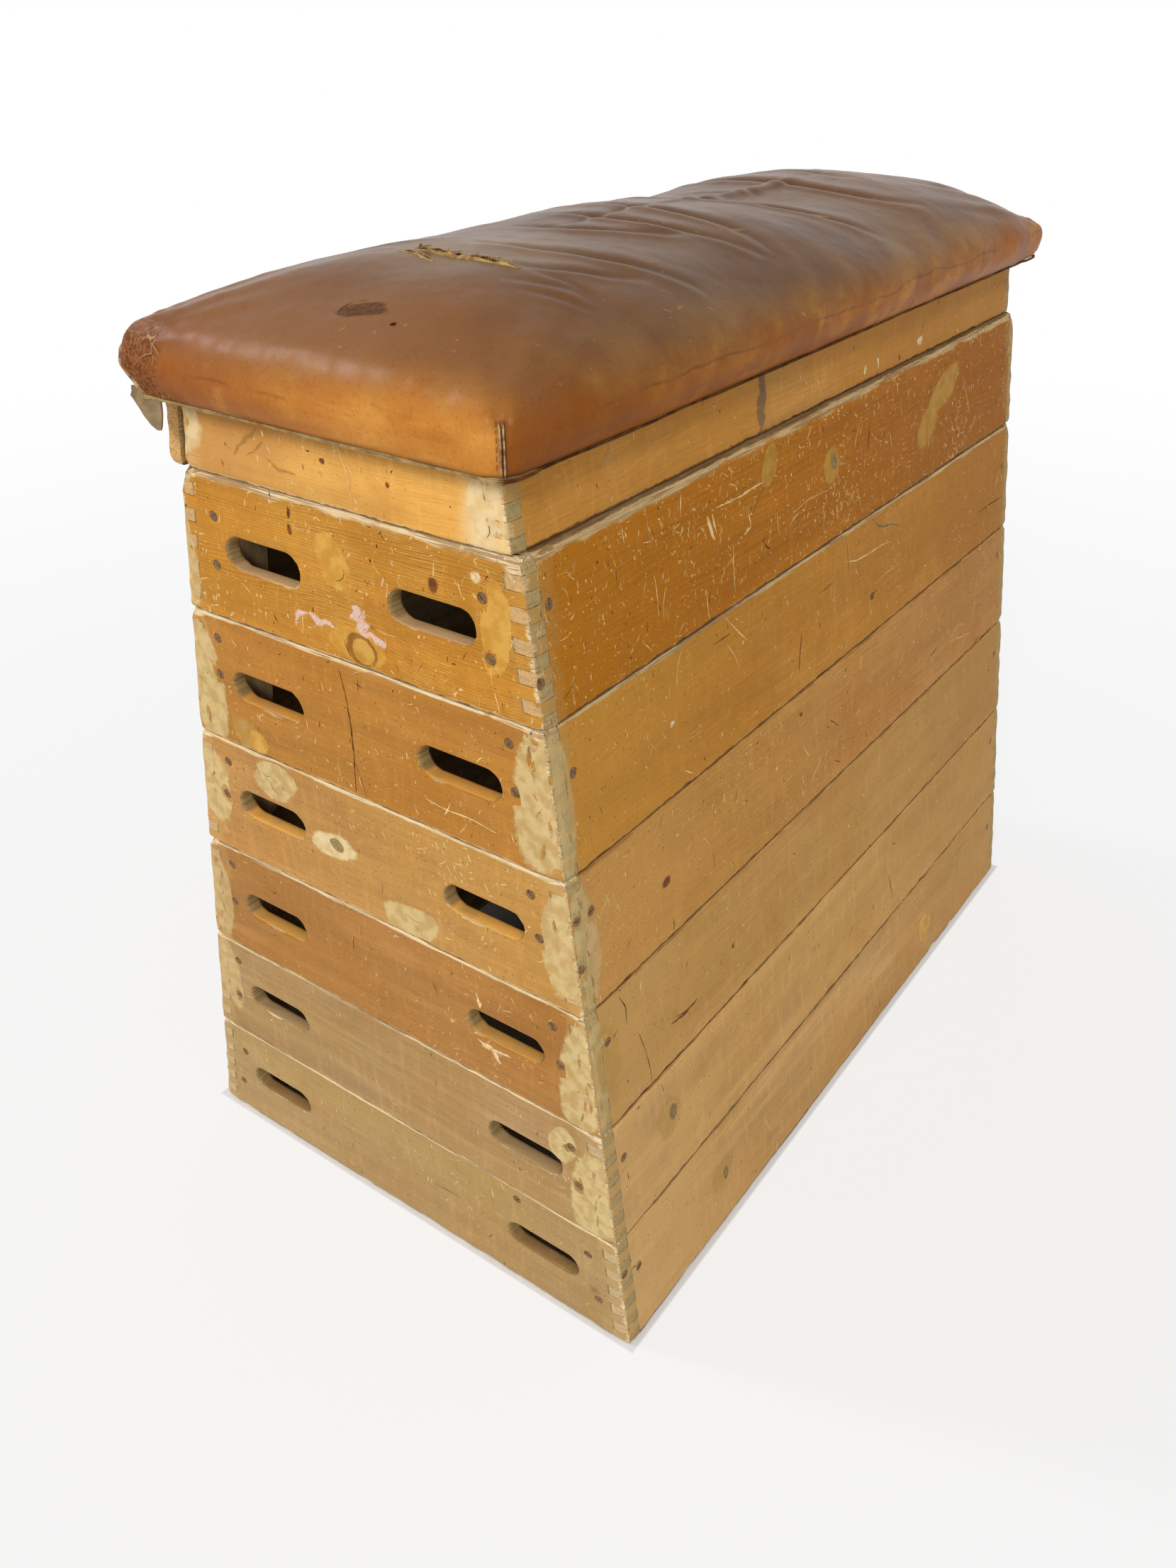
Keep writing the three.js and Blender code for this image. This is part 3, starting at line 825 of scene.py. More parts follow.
# Slotted screws sit in shallow sinkings: (face, place along the board, height) in millimetres,
# on the left end board and the front long board
screw_places = {
    "tier_1": (("end", -333, 138), ("end", -351, 58), ("end", -214, 164),
               ("side", -644, 113), ("side", -675, 127)),
    "tier_2": (("end", -306, 142), ("end", -318, 79), ("side", -646, 124)),
    "tier_3": (("end", -280, 149), ("end", -291, 92), ("side", -648, 126)),
    "tier_4": (("end", -252, 150), ("end", -263, 92), ("side", -647, 129),
               ("side", -674, 131), ("side", -676, 67)),
    "tier_5": (("end", -228, 156), ("end", -235, 97), ("side", -647, 121)),
    "tier_6": (("end", -200, 132), ("end", -208, 66), ("side", -650, 128), ("side", -679, 53)),
    "lid": (),
}
screw_radius = 0.0062
screw_sink = 0.0002
screw_sides = 20
slot_share = 0.17
head_depth = 0.0011
head_steps = 12
sinking_radius = 0.0068
sinking_depth = 0.0014
side_screw_limit = 0.66
foot_screw_limit = 0.22


def face_point(box, face, along, height):
    """A point on a frame's outer face, and the way out of it."""
    z = box.base + height
    if face in ("left", "right"):
        end = -1 if face == "left" else 1
        return Vector((end * half_length, along, z)), Vector((end, 0, 0))
    side = -1 if face == "front" else 1
    way = Vector((0, side, side_slope)).normalized()
    return Vector((along, side * box.half_width(height), z)), way


def screws_of(box):
    """Every screw of a frame: those that show, and their like on the other faces."""
    rng = random.Random(box.seed + 40)
    found = []
    for kind, along, height in screw_places[box.name]:
        along, height = along / 1000, height / 1000
        near, far = ("left", "right") if kind == "end" else ("front", "back")
        for face in (near, far):
            for mirror in (1, -1):
                first = face == near and mirror == 1
                slip = (0, 0) if first else (rng.uniform(-0.003, 0.003), rng.uniform(-0.008, 0.008))
                far_out = kind == "side" and abs(along) > side_screw_limit
                far_in = kind == "end" and abs(along) < foot_screw_limit and box.name == "tier_1"
                if not first and (far_out or far_in):
                    continue
                found.append((face, mirror * along + slip[0], height + slip[1], rng.uniform(0, math.pi)))
    return found


def circle(middle, across, other, radius, count):
    """Points round a circle, or an oval where across and other differ in length."""
    turns = [i / count * 2 * math.pi for i in range(count)]
    return [middle + (across * math.cos(t) + other * math.sin(t)) * radius for t in turns]


def sinking_tool(box, face, along, height):
    point, way = face_point(box, face, along, height)
    across = way.orthogonal().normalized()
    other = way.cross(across)
    return loft([
        circle(point + way * out, across, other, sinking_radius * share, screw_sides)
        for out, share in ((-sinking_depth, 0.93), (0.003, 1.12))
    ])


for box in frames:
    finishes = board_finish(box, 0), board_finish(box, 1)
    form = loft(frame_form(box))
    screws = screws_of(box)
    for kind, faces in ((0, ("left", "right")), (1, ("front", "back"))):
        for face in faces:
            way = -1 if face in ("left", "front") else 1
            cutters = [sinking_tool(box, *s[:3]) for s in screws if s[0] == face]
            if kind == 0 and box.has_holes:
                cutters += [hand_hole_tool(box, way, side) for side in (-1, 1)]
            cuts = [("INTERSECT", board_tool(box, kind, way))]
            if cutters:
                cuts.append(("DIFFERENCE", joined(cutters)))
            mesh = carved(form.copy(), *cuts)
            node = f"{box.name}_{'end' if kind == 0 else 'side'}_{face}"
            if node == "lid_side_back":
                pivot = Vector((half_length, box.half_width(0), 0))
                swing = Matrix.Rotation(-math.asin(lid_spring / (2 * half_length)), 4, "Z")
                mesh.transform(Matrix.Translation(pivot) @ swing @ Matrix.Translation(-pivot))
            board = place_piece(node + "_board", mesh, finishes[kind], box.name)
            board.modifiers.new("even_shading", "WEIGHTED_NORMAL").keep_sharp = True
            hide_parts(node)
            carriers[box.name, face] = board


# The corner posts: square pine blocks screwed into each corner. Their tops stand up as pegs
# that the next tier drops over. They are bare wood, greyed and dented by years of stacking.
def bare_finish(name, pale, deep, long_axis):
    material, surface, coords = start_finish(name)
    x, y, z = coords.parts()
    scales = [60.0, 60.0, 60.0]
    scales[long_axis] = 3.0
    stretched = place_at(x * scales[0], y * scales[1], z * scales[2])
    streaks = stretched.cloudy(1.0, 4.0)
    fibres = stretched.cloudy(9.0, 2.0)
    stains = coords.cloudy(18.0, 3.0)
    colour = streaks.rise(0.35, 0.65).blend(shade(*deep), shade(*pale))
    colour = (stains.rise(0.5, 0.7) * 0.4).blend(colour, shade(*scaled(deep, 0.75)))
    colour = ((fibres - 0.4) * 0.5).blend(colour, shade(*scaled(deep, 0.85)))
    looks = {"Base Color": colour, "Roughness": stains * 0.2 + 0.65}
    finish_surface(surface, looks, fibres * 0.6 + streaks * 0.5, 0.0006)
    return material


def paint_node(node, finish):
    for slot in node.material_slots:
        slot.link = "OBJECT"
        slot.material = finish


post_finish = bare_finish("bare_post_pine", (206, 178, 132), (170, 140, 96), 2)
for name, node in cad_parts.items():
    if "_post_" in name:
        paint_node(node, post_finish)


# The screws: countersunk slotted steel, driven through the boards into the corner posts and
# sunk just under the face. They are dull and half choked with old varnish.
def screw_form(form, point, way, turn, radius):
    """One screw head: a low dome in two halves with a real slot between them."""
    across = way.orthogonal().normalized()
    across = (Matrix.Rotation(turn, 3, way) @ across).normalized()
    other = way.cross(across)
    slot_half = radius * slot_share
    rings = ((1.0, -head_depth), (1.0, -0.0003), (0.9, -0.00005), (0.5, 0.00012))
    for half in (1, -1):
        start = math.asin(slot_half / radius)
        layers = []
        for share, out in rings:
            layer = []
            for i in range(head_steps + 1):
                angle = start + (math.pi - 2 * start) * i / head_steps
                u = math.cos(angle) * radius * share
                v = max(math.sin(angle) * radius * share, slot_half)
                layer.append(form.verts.new(point + way * out + across * u + other * (v * half)))
            layers.append(layer)
        for lower, upper in zip(layers, layers[1:]):
            for i in range(head_steps):
                form.faces.new((lower[i], lower[i + 1], upper[i + 1], upper[i]))
            form.faces.new((lower[-1], lower[0], upper[0], upper[-1]))
        form.faces.new(layers[-1])
        form.faces.new(layers[0])
    floor_ring = [
        [form.verts.new(p) for p in circle(point + way * out, across, other, radius * 0.98, screw_sides)]
        for out in (-head_depth - 0.0002, -head_depth + 0.00035)
    ]
    for i in range(screw_sides):
        j = (i + 1) % screw_sides
        form.faces.new((floor_ring[0][i], floor_ring[0][j], floor_ring[1][j], floor_ring[1][i]))
    form.faces.new(floor_ring[0])
    form.faces.new(floor_ring[1])


screw_finish, surface, coords = start_finish("dull_screw_steel")
tarnish = coords.cloudy(420.0, 3.0)
choke = coords.cloudy(150.0, 2.0)
steel = tarnish.rise(0.35, 0.65).blend(shade(92, 62, 30), shade(134, 100, 58))
steel = (choke.rise(0.5, 0.62) * 0.7).blend(steel, shade(140, 100, 60))
looks = {
    "Base Color": steel, "Roughness": tarnish * 0.3 + 0.42,
    "Metallic": 0.12 - choke.rise(0.5, 0.62) * 0.1,
}
finish_surface(surface, looks, tarnish, 0.0003)

for box in tiers:
    form = bmesh.new()
    for face, along, height, turn in screws_of(box):
        point, way = face_point(box, face, along, height)
        screw_form(form, point - way * screw_sink, way, turn, screw_radius)
    bmesh.ops.recalc_face_normals(form, faces=form.faces)
    mesh = bpy.data.meshes.new(f"{box.name}_screws")
    form.to_mesh(mesh)
    form.free()
    place_piece(f"{box.name}_screws", mesh, screw_finish, box.name)


# The deck: bare pine boards nailed over the lid's frame, which carry the padding. Only their
# underside can be seen, from below when the lid is off.
deck_finish = bare_finish("bare_deck_pine", (196, 164, 118), (160, 126, 84), 0)
paint_node(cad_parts["deck_board"], deck_finish)


# The padding: hair stuffing under one hide of brown saddle leather, drawn over the deck and
# tacked along its lower edge. It has sagged into folds, and its corners are sewn upright.
lid_top = 1.186
rim_half_length = 0.72
rim_half_width = 0.26196
rim_corner = 0.024
widest_height = 0.038
crown_height = 0.104
side_bulge = 0.022
corner_bulge = 0.010
bulge_reach = 0.19
crown_places = (-1, -0.55, -0.1, 0.25, 0.55, 0.8, 1)
crown_edge = (0.05, 0.03)
crown_shares = (0.9, 0.98, 0.99, 0.86, 0.94, 0.85, 0.34)
swell_room = 0.005


def soft_step(share):
    held = min(max(share, 0), 1)
    return held * held * (3 - 2 * held)


def crown_share_at(x):
    place = min(max(x / rim_half_length, -1), 1)
    i = 0
    while i + 2 < len(crown_places) and place > crown_places[i + 1]:
        i += 1
    along = (place - crown_places[i]) / (crown_places[i + 1] - crown_places[i])
    return crown_shares[i] + (crown_shares[i + 1] - crown_shares[i]) * soft_step(along)


def rim_loop(inset):
    """The cushion's plan outline drawn in by inset: (x, y, outward x, outward y)."""
    half_x, half_y = rim_half_length - inset, rim_half_width - inset
    radius = rim_corner * half_y / rim_half_width
    loop = []
    for spot, (x_side, y_side, turn) in enumerate(plan_corners):
        middle = (x_side * (half_x - radius), y_side * (half_y - radius))
        for step in range(7):
            angle = (turn + step / 6) * math.pi / 2
            way = (math.cos(angle), math.sin(angle))
            loop.append((middle[0] + way[0] * radius, middle[1] + way[1] * radius, *way))
        next_x, next_y, _ = plan_corners[(spot + 1) % 4]
        after = (next_x * (half_x - radius), next_y * (half_y - radius))
        steps = 120 if turn % 2 == 0 else 44
        for step in range(1, steps):
            share = step / steps
            x = middle[0] + (after[0] - middle[0]) * share + way[0] * radius
            y = middle[1] + (after[1] - middle[1]) * share + way[1] * radius
            loop.append((x, y, *way))
    return loop


def bulge_at(x, y):
    from_end = max(rim_half_length - abs(x), rim_half_width - abs(y))
    return corner_bulge + (side_bulge - corner_bulge) * soft_step(from_end / bulge_reach)


def cushion_rings(room):
    """The stuffed form as rings. room is how much smaller it starts, before it swells."""
    rings = []
    for height in (-0.0008, 0.004, 0.009, 0.014, 0.019, 0.024, 0.029, 0.034, widest_height):
        swell = math.sin(max(height, 0) / widest_height * math.pi / 2)
        rings.append(np.array([
            (
                x + way_x * (bulge_at(x, y) - room) * swell,
                y + way_y * (bulge_at(x, y) - room) * swell,
                lid_top + height,
            )
            for x, y, way_x, way_y in rim_loop(0)
        ]))
    for step in range(1, 25):
        share = 0.975 * (step / 24) ** 1.6
        ring = []
        for x, y, way_x, way_y in rim_loop(share * rim_half_width):
            from_end, from_side = rim_half_length - abs(x), rim_half_width - abs(y)
            hip = min(from_end, from_side) / max(from_end, from_side)
            corner_share = 1 / math.sqrt(1 + (hip * (1 - share)) ** 2)
            rise = math.sqrt(1 - (1 - share * corner_share) ** 2)
            out = (bulge_at(x, y) - room) * (1 - share)
            height = widest_height + (crown_height * crown_share_at(x) - room) * rise
            ring.append((x + way_x * out, y + way_y * out, lid_top + height))
        rings.append(np.array(ring))
    return rings


def swap_mesh(piece, mesh):
    piece.modifiers.clear()
    piece.data = mesh


def note_points(mesh, name, values):
    """Write a value at each point of a mesh, for its finish to read."""
    note = mesh.attributes.new(name, "FLOAT", "POINT")
    note.data.foreach_set("value", np.array(values, np.float32))


def points_of(mesh):
    found = np.zeros(len(mesh.vertices) * 3)
    mesh.vertices.foreach_get("co", found)
    return found.reshape(-1, 3)


def set_points(mesh, points):
    mesh.vertices.foreach_set("co", points.ravel())
    mesh.update()


voxel_size = 0.0075
cloth_frames = 20
cloth_reach = 0.004
cloth_swell = 0.002
cloth_pressure = 4
tacked_height = 0.034
sewn_reach = 0.06
cushion = add_object("cushion_leather", loft(cushion_rings(swell_room)))
remesh = cushion.modifiers.new("even_cells", "REMESH")
remesh.mode = "VOXEL"
remesh.voxel_size = voxel_size
swap_mesh(cushion, with_modifiers(cushion))
slack = points_of(cushion.data)
stuffed = slack.copy()
lifted = ramp(slack[:, 2] - lid_top, 0.02, 0.03)
stuffed[:, 2] += lifted * (swell_room - cloth_swell)
outward = np.stack([slack[:, 0] / 6, slack[:, 1], 0 * slack[:, 0]], axis=1)
outward /= np.maximum(np.linalg.norm(outward, axis=1), 1e-6)[:, None]
stuffed += outward * (lifted * (swell_room - cloth_swell) * 0.6)[:, None]
set_points(cushion.data, stuffed)
held = cushion.vertex_groups.new(name="tacked_edge")
for i, point in enumerate(stuffed):
    height = point[2] - lid_top
    from_corner = math.hypot(rim_half_length - abs(point[0]), rim_half_width - abs(point[1]))
    tacked = min(1, max(0, (tacked_height - height) / 0.014))
    sewn = min(1, max(0, (sewn_reach - from_corner) / 0.03)) * 0.9
    if max(tacked, sewn) > 0:
        held.add([i], max(tacked, sewn), "REPLACE")
cloth = cushion.modifiers.new("stuffing_push", "CLOTH")
cloth.settings.use_pressure = True
cloth.settings.uniform_pressure_force = cloth_pressure
cloth.settings.effector_weights.gravity = 0
cloth.settings.vertex_group_mass = "tacked_edge"
cloth.settings.bending_stiffness = 2.0
cloth.point_cache.frame_start = 1
cloth.point_cache.frame_end = cloth_frames
for step in range(1, cloth_frames + 1):
    bpy.context.scene.frame_set(step)
swelled = points_of(with_modifiers(cushion))
bpy.context.scene.frame_set(1)
cushion.modifiers.clear()
moved = swelled - stuffed
reach = np.linalg.norm(moved, axis=1)
moved = moved / (1 + reach / cloth_reach)[:, None]
set_points(cushion.data, stuffed + moved)
cushion.modifiers.new("finer", "SUBSURF").levels = 1
swap_mesh(cushion, with_modifiers(cushion))

# Folds across the hide, from the crest down to the front and on down the back, in millimetres:
# (points, valley depth, valley width, ridge height, ridge distance)
folds = (
    (((318, 215), (300, 120), (278, 20), (276, -70), (306, -140), (370, -193)), 4.5, 9, 3.0, 22),
    (((60, 190), (38, 70), (52, -40), (92, -124), (140, -184), (168, -222)), 4.5, 8, 3.0, 20),
    (((-60, 180), (-98, 90), (-116, 0), (-110, -86), (-100, -150), (-118, -205)), 3.8, 8, 2.6, 20),
    (((-190, 120), (-202, 20), (-196, -80), (-160, -148), (-134, -205)), 3.2, 7, 2.4, 18),
    (((-290, 60), (-284, -22), (-240, -86), (-181, -133)), 2.6, 7, 2.0, 17),
    (((-420, 20), (-404, -66), (-380, -124), (-348, -176), (-310, -232)), 2.8, 7, 2.2, 17),
    (((-486, -70), (-462, -118), (-420, -160), (-378, -190)), 2.4, 6, 1.8, 15),
    (((-526, -103), (-500, -137), (-486, -172), (-482, -206)), 1.6, 6, 1.2, 14),
    (((-485, -98), (-478, -130), (-476, -165), (-473, -197)), 1.2, 5, 0.9, 12),
    (((-534, -132), (-521, -160), (-506, -188), (-493, -211)), 1.0, 5, 0.8, 12),
    (((420, 120), (404, 30), (385, -60)), 2.0, 9, 1.6, 20),
    (((160, 140), (170, 40), (176, -50)), 1.8, 8, 1.4, 18),
    (((-500, 190), (-448, 126), (-400, 40)), 1.6, 7, 1.2, 15),
)


def eased_path(path, count):
    """Points spaced evenly along a soft curve through a path in millimetres, in metres."""
    path = np.array(path, float) / 1000
    marks = np.concatenate([[0], np.cumsum(np.hypot(*np.diff(path, axis=0).T))])
    at = np.linspace(0, marks[-1], count)
    eased = np.stack([np.interp(at, marks, path[:, 0]), np.interp(at, marks, path[:, 1])], axis=1)
    for _ in range(4):
        eased[1:-1] = (eased[:-2] + 2 * eased[1:-1] + eased[2:]) / 4
    return eased


def fold_marks(points):
    """At each point, how far the folds move the hide, and how deep in a valley it lies, for the painted
    shade in the folds.
    """
    lift = np.zeros(len(points))
    valley = np.zeros(len(points))
    for path, deep, wide, ridge, ridge_away in folds:
        path = eased_path(path, 25)
        lengths = np.hypot(*np.diff(path, axis=0).T)
        total = lengths.sum()
        best = np.full(len(points), 1.0)
        across = np.zeros(len(points))
        along = np.zeros(len(points))
        walked = 0.0
        for a, b, length in zip(path, path[1:], lengths):
            way = (b - a) / length
            local = points[:, :2] - a
            t = np.clip(local @ way, 0, length)
            gap = local - t[:, None] * way
            away = np.hypot(gap[:, 0], gap[:, 1])
            side = np.sign(local[:, 0] * way[1] - local[:, 1] * way[0])
            nearer = away < best
            best = np.where(nearer, away, best)
            across = np.where(nearer, away * side, across)
            along = np.where(nearer, (walked + t) / total, along)
            walked += length
        taper = np.sin(np.clip(along, 0, 1) * math.pi) ** 0.7
        across = across * 1000
        valley_share = bell(across, wide) * taper
        bank = bell(across - ridge_away, wide * 1.5)
        far_bank = bell(across + ridge_away * 1.2, wide * 2.0)
        lift += (ridge * (bank + 0.5 * far_bank) * taper - deep * valley_share) / 1000
        valley = np.maximum(valley, valley_share * min(1, deep / 3.5))
    return lift, valley


def vertex_normals(mesh):
    found = np.zeros(len(mesh.vertices) * 3)
    mesh.vertex_normals.foreach_get("vector", found)
    return found.reshape(-1, 3)


sag_depth = 0.0028
ripple_depth = 0.0009
dimple_depth = 0.00022
pucker_pitch = 0.031
pucker_depth = 0.0003
corner_dip = 0.0035
ear_height = 0.0032
groove_depth = 0.0030
torn_corner = (-0.725, 0.262)
torn_swell = 0.012
end_swell = 0.004
points = points_of(cushion.data)
normals = vertex_normals(cushion.data)
height = points[:, 2] - lid_top
on_crown = ramp(height, *crown_edge)
lift, _ = fold_marks(points)
slow = waves(points * (1, 1, 0), 0.21, 3)
mid = waves(points, 0.06, 9)
quick = waves(points, 0.018, 21)
free = ramp(height, 0.012, 0.02)
end_band = bell(height - 0.062, 0.02) * ramp(np.abs(points[:, 0]), 0.62, 0.05)
puckers = np.sin(points[:, 1] * 2 * math.pi / pucker_pitch + 2.0 * mid) * end_band * pucker_depth
corner_away = np.hypot(rim_half_length - np.abs(points[:, 0]), rim_half_width - np.abs(points[:, 1]))
corner_pull = bell(corner_away, 0.028) * bell(height - 0.055, 0.02) * corner_dip
waviness = sag_depth * slow * on_crown + ripple_depth * mid + dimple_depth * quick
shift = lift * on_crown + waviness * free
shift += puckers - corner_pull
seam_side = (np.abs(points[:, 0]) - rim_half_length) - (np.abs(points[:, 1]) - rim_half_width)
seam_off = np.abs(seam_side) * 0.707
at_corner = np.clip(1 - corner_away / 0.05, 0, 1)
ears = np.exp(-(((seam_off - 0.011) / 0.0065) ** 2) - ((height - 0.057) / 0.010) ** 2) * ear_height
groove = bell(seam_off, 0.0045) * ramp(0.064 - height, 0, 0.008) * groove_depth
shift += (ears - groove) * np.clip(at_corner * 4, 0, 1) * free
torn_gap = np.hypot(points[:, 0] - torn_corner[0], points[:, 1] - torn_corner[1])
torn_share = bell(torn_gap, 0.06) * free
crinkle = np.array([
    abs(wander((p[0], p[1], p[2] * 0.6), 0.016, 51)) if near > 0.05 else 0.0
    for p, near in zip(points, torn_share)
])
shift += torn_share * (torn_swell - crinkle * 0.0035)
shift += ramp(points[:, 0], 0.64, 0.08) * free * end_swell
points = points + normals * shift[:, None]
set_points(cushion.data, points)

deck_room = loft([
    [(x, y, lid_top + rise) for x, y, _, _ in rim_loop(0.003)] for rise in (-0.01, 0.0182)
])
swap_mesh(cushion, carved(cushion.data.copy(), ("DIFFERENCE", deck_room)))
smoothed(cushion.data)
points = points_of(cushion.data)
_, valley = fold_marks(points)
valley = valley * ramp(points[:, 2] - lid_top, *crown_edge)
note_points(cushion.data, "fold_valley", valley)

leather_finish, surface, coords = start_finish("saddle_leather")
x, y, z = coords.parts()
height = z - lid_top
broad = coords.cloudy(4.5, 3.0)
clouds = coords.cloudy(14.0, 4.0, 0.6)
pebble = coords.node("TexVoronoi", {"Vector": coords, "Scale": 520.0})
fine = coords.cloudy(260.0, 3.0)
side_streaks = place_at(x * 16.0, y * 16.0, z * 90.0).cloudy(1.0, 3.0)
crown = (height + (clouds - 0.5) * 0.03 + (broad - 0.5) * 0.03).rise(0.032, 0.094)
side_brown = clouds.rise(0.35, 0.65).blend(shade(146, 84, 26), shade(172, 106, 36))
side_brown = (side_streaks.rise(0.5, 0.7) * 0.35).blend(side_brown, shade(126, 68, 20))
near_corner = (0.0 - x + (clouds - 0.5) * 0.1).rise(0.5, 0.66)
side_brown = (near_corner * 0.7).blend(side_brown, shade(138, 76, 28))
end_brown = clouds.rise(0.35, 0.65).blend(shade(194, 124, 50), shade(214, 148, 68))
end_brown = (side_streaks.rise(0.5, 0.7) * 0.3).blend(end_brown, shade(168, 98, 38))
ruddy = (y + (broad - 0.5) * 0.2).rise(-0.1, 0.12)
end_brown = (ruddy * 0.85).blend(end_brown, shade(152, 84, 34))
off_seam = abs(x) - rim_half_length - abs(y) + rim_half_width
past_seam = height.rise(0.045, 0.066).blend(off_seam.rise(-0.001, 0.001), off_seam.rise(-0.05, 0.05))
side_brown = (past_seam * (0.0 - x).rise(0.0, 0.01)).blend(side_brown, end_brown)
top_brown = broad.rise(0.35, 0.65).blend(shade(96, 66, 44), shade(112, 80, 54))
top_brown = (clouds.rise(0.45, 0.7) * 0.3).blend(top_brown, shade(124, 86, 50))
near_end = (0.0 - x + (broad - 0.5) * 0.2).rise(0.42, 0.68)
top_brown = (near_end * 0.8).blend(top_brown, shade(142, 90, 42))
far_end = (x + (broad - 0.5) * 0.3).rise(0.1, 0.6)
top_brown = (far_end * 0.5).blend(top_brown, shade(120, 80, 46))
colour = crown.blend(side_brown, top_brown)
shoulder = (1 - abs(height - 0.07).rise(0.0, 0.05)) * (0.0 - y).rise(0.12, 0.22)
shoulder = shoulder * (broad + (clouds - 0.5) * 0.6).rise(0.42, 0.62)
colour = (shoulder * 0.45).blend(colour, shade(146, 106, 52))
# Painted sheen: a paler, greyer patch on the crown near the tear stands in for the reflection of the
# bright surround.
sheen_x, sheen_y = x + 0.44, y + 0.02
painted_sheen = 1 - ((sheen_x * sheen_x + sheen_y * sheen_y) ** 0.5 + (broad - 0.5) * 0.16).rise(0.04, 0.16)
colour = (painted_sheen * crown * 0.5).blend(colour, shade(152, 122, 92))
# Painted shade: the hide is darkened in the valleys of its folds.
valley = coords.node("Attribute", attribute_name="fold_valley", output="Fac")
colour = (valley * 0.5).blend(colour, shade(60, 38, 24))
# Painted shade: the hide is darker along its lower edge, where it tucks in under the bulge.
painted_foot_shade = 1 - (height - (clouds - 0.5) * 0.02).rise(0.001, 0.010)
colour = (painted_foot_shade * 0.5).blend(colour, shade(84, 48, 24))
# A crease round the sides at mid-height: its dark line is painted shade, and the relief sinks it.
crease_away = abs(height - 0.040 - (broad - 0.5) * 0.05 - (clouds - 0.5) * 0.012)
creases = (1 - crease_away.rise(0.0004, 0.0026)) * (broad + clouds - 0.5).rise(0.42, 0.6)
colour = (creases * 0.4).blend(colour, shade(92, 48, 22))
rubbed = (clouds + (broad - 0.5) * 0.6).rise(0.56, 0.68) * (1 - crown)
colour = (rubbed * 0.4).blend(colour, shade(202, 142, 68))
scuff_noise = place_at(x * 90.0 + y * 90.0, y * 20.0, z * 34.0).cloudy(1.0, 2.0)
scuffs = (scuff_noise + (broad - 0.5) * 0.3).rise(0.74, 0.77)
fleck_noise = coords.cloudy(130.0, 2.0)
flecks = (fleck_noise + (broad - 0.5) * 0.2).rise(0.72, 0.75)
scuffs = scuffs.most(flecks)
colour = (scuffs * 0.4).blend(colour, shade(200, 152, 92))
colour = (fine.rise(0.5, 0.75) * 0.22).blend(colour, shade(84, 48, 24))
torn_x, torn_y, torn_z = x + 0.725, y - 0.262, height - 0.03
torn_away = (torn_x * torn_x + torn_y * torn_y + torn_z * torn_z) ** 0.5
torn = 1 - (torn_away - (clouds - 0.5) * 0.09).rise(0.045, 0.085)
bruise = 1 - (torn_away - (broad - 0.5) * 0.08).rise(0.06, 0.16)
colour = (bruise * clouds.rise(0.4, 0.6) * 0.6).blend(colour, shade(116, 58, 26))
flake_field = coords + (broad * 0.03)
flake_values = {"Vector": flake_field, "Scale": 62.0}
flakes = coords.node("TexVoronoi", flake_values, feature="DISTANCE_TO_EDGE")
flake_lines = (1 - flakes.rise(0.006, 0.05)) * clouds.rise(0.42, 0.58)
torn_brown = fine.rise(0.4, 0.6).blend(shade(92, 48, 28), shade(142, 88, 48))
torn_brown = ((y - 0.25).rise(0.0, 0.02) * 0.7).blend(torn_brown, shade(70, 34, 26))
torn_brown = (flake_lines * 0.85).blend(torn_brown, shade(216, 172, 116))
colour = (torn * 0.85).blend(colour, torn_brown)
gloss = 0.2 + clouds * 0.16 + torn * 0.2 + scuffs * 0.2 + (1 - crown) * 0.08
polish = (0.0 - x).rise(0.6, 0.72) * height.rise(0.03, 0.07) * (broad * 0.4 + 0.08)
looks = {
    "Base Color": colour, "Roughness": gloss.least(0.9), "Specular IOR Level": 0.04,
    "Coat Roughness": 0.36, "Coat Weight": polish.most(crown * 0.06),
}
pucker_field = abs(x).rise(0.6, 0.69).blend(
    place_at(x * 75.0, y * 5.0, z * 9.0), place_at(x * 9.0, y * 95.0, z * 9.0)
)
tuck_noise = pucker_field.cloudy(1.0, 2.0)
shoulder_band = 1 - abs(height - 0.068).rise(0.012, 0.042)
relief = pebble * -0.12 + fine * 0.3 + clouds * 0.7 + flake_lines * torn * 2.5 - creases * 0.8
relief = relief + tuck_noise * shoulder_band * 0.6
finish_surface(surface, looks, relief, 0.0006)
cushion.data.materials.clear()
cushion.data.materials.append(leather_finish)
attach(cushion, "lid")
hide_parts("padding", "leather_cover")


def surface_of(*meshes):
    """The skin of some meshes, that marks and trim can be laid on."""
    points, faces = [], []
    for mesh in meshes:
        first = len(points)
        points += [vertex.co.copy() for vertex in mesh.vertices]
        faces += [[first + i for i in face.vertices] for face in mesh.polygons]
    return BVHTree.FromPolygons(points, faces)


def lay(surface, point, way, lift, reach=0.06):
    """Where a point lands on a surface when it is pushed back along way, with the way out."""
    start = Vector(point) + Vector(way) * reach
    place, normal, _, _ = surface.ray_cast(start, -Vector(way), 2 * reach)
    if place is None:
        return None, None
    return place + normal * lift, normal


hide = surface_of(cushion.data)


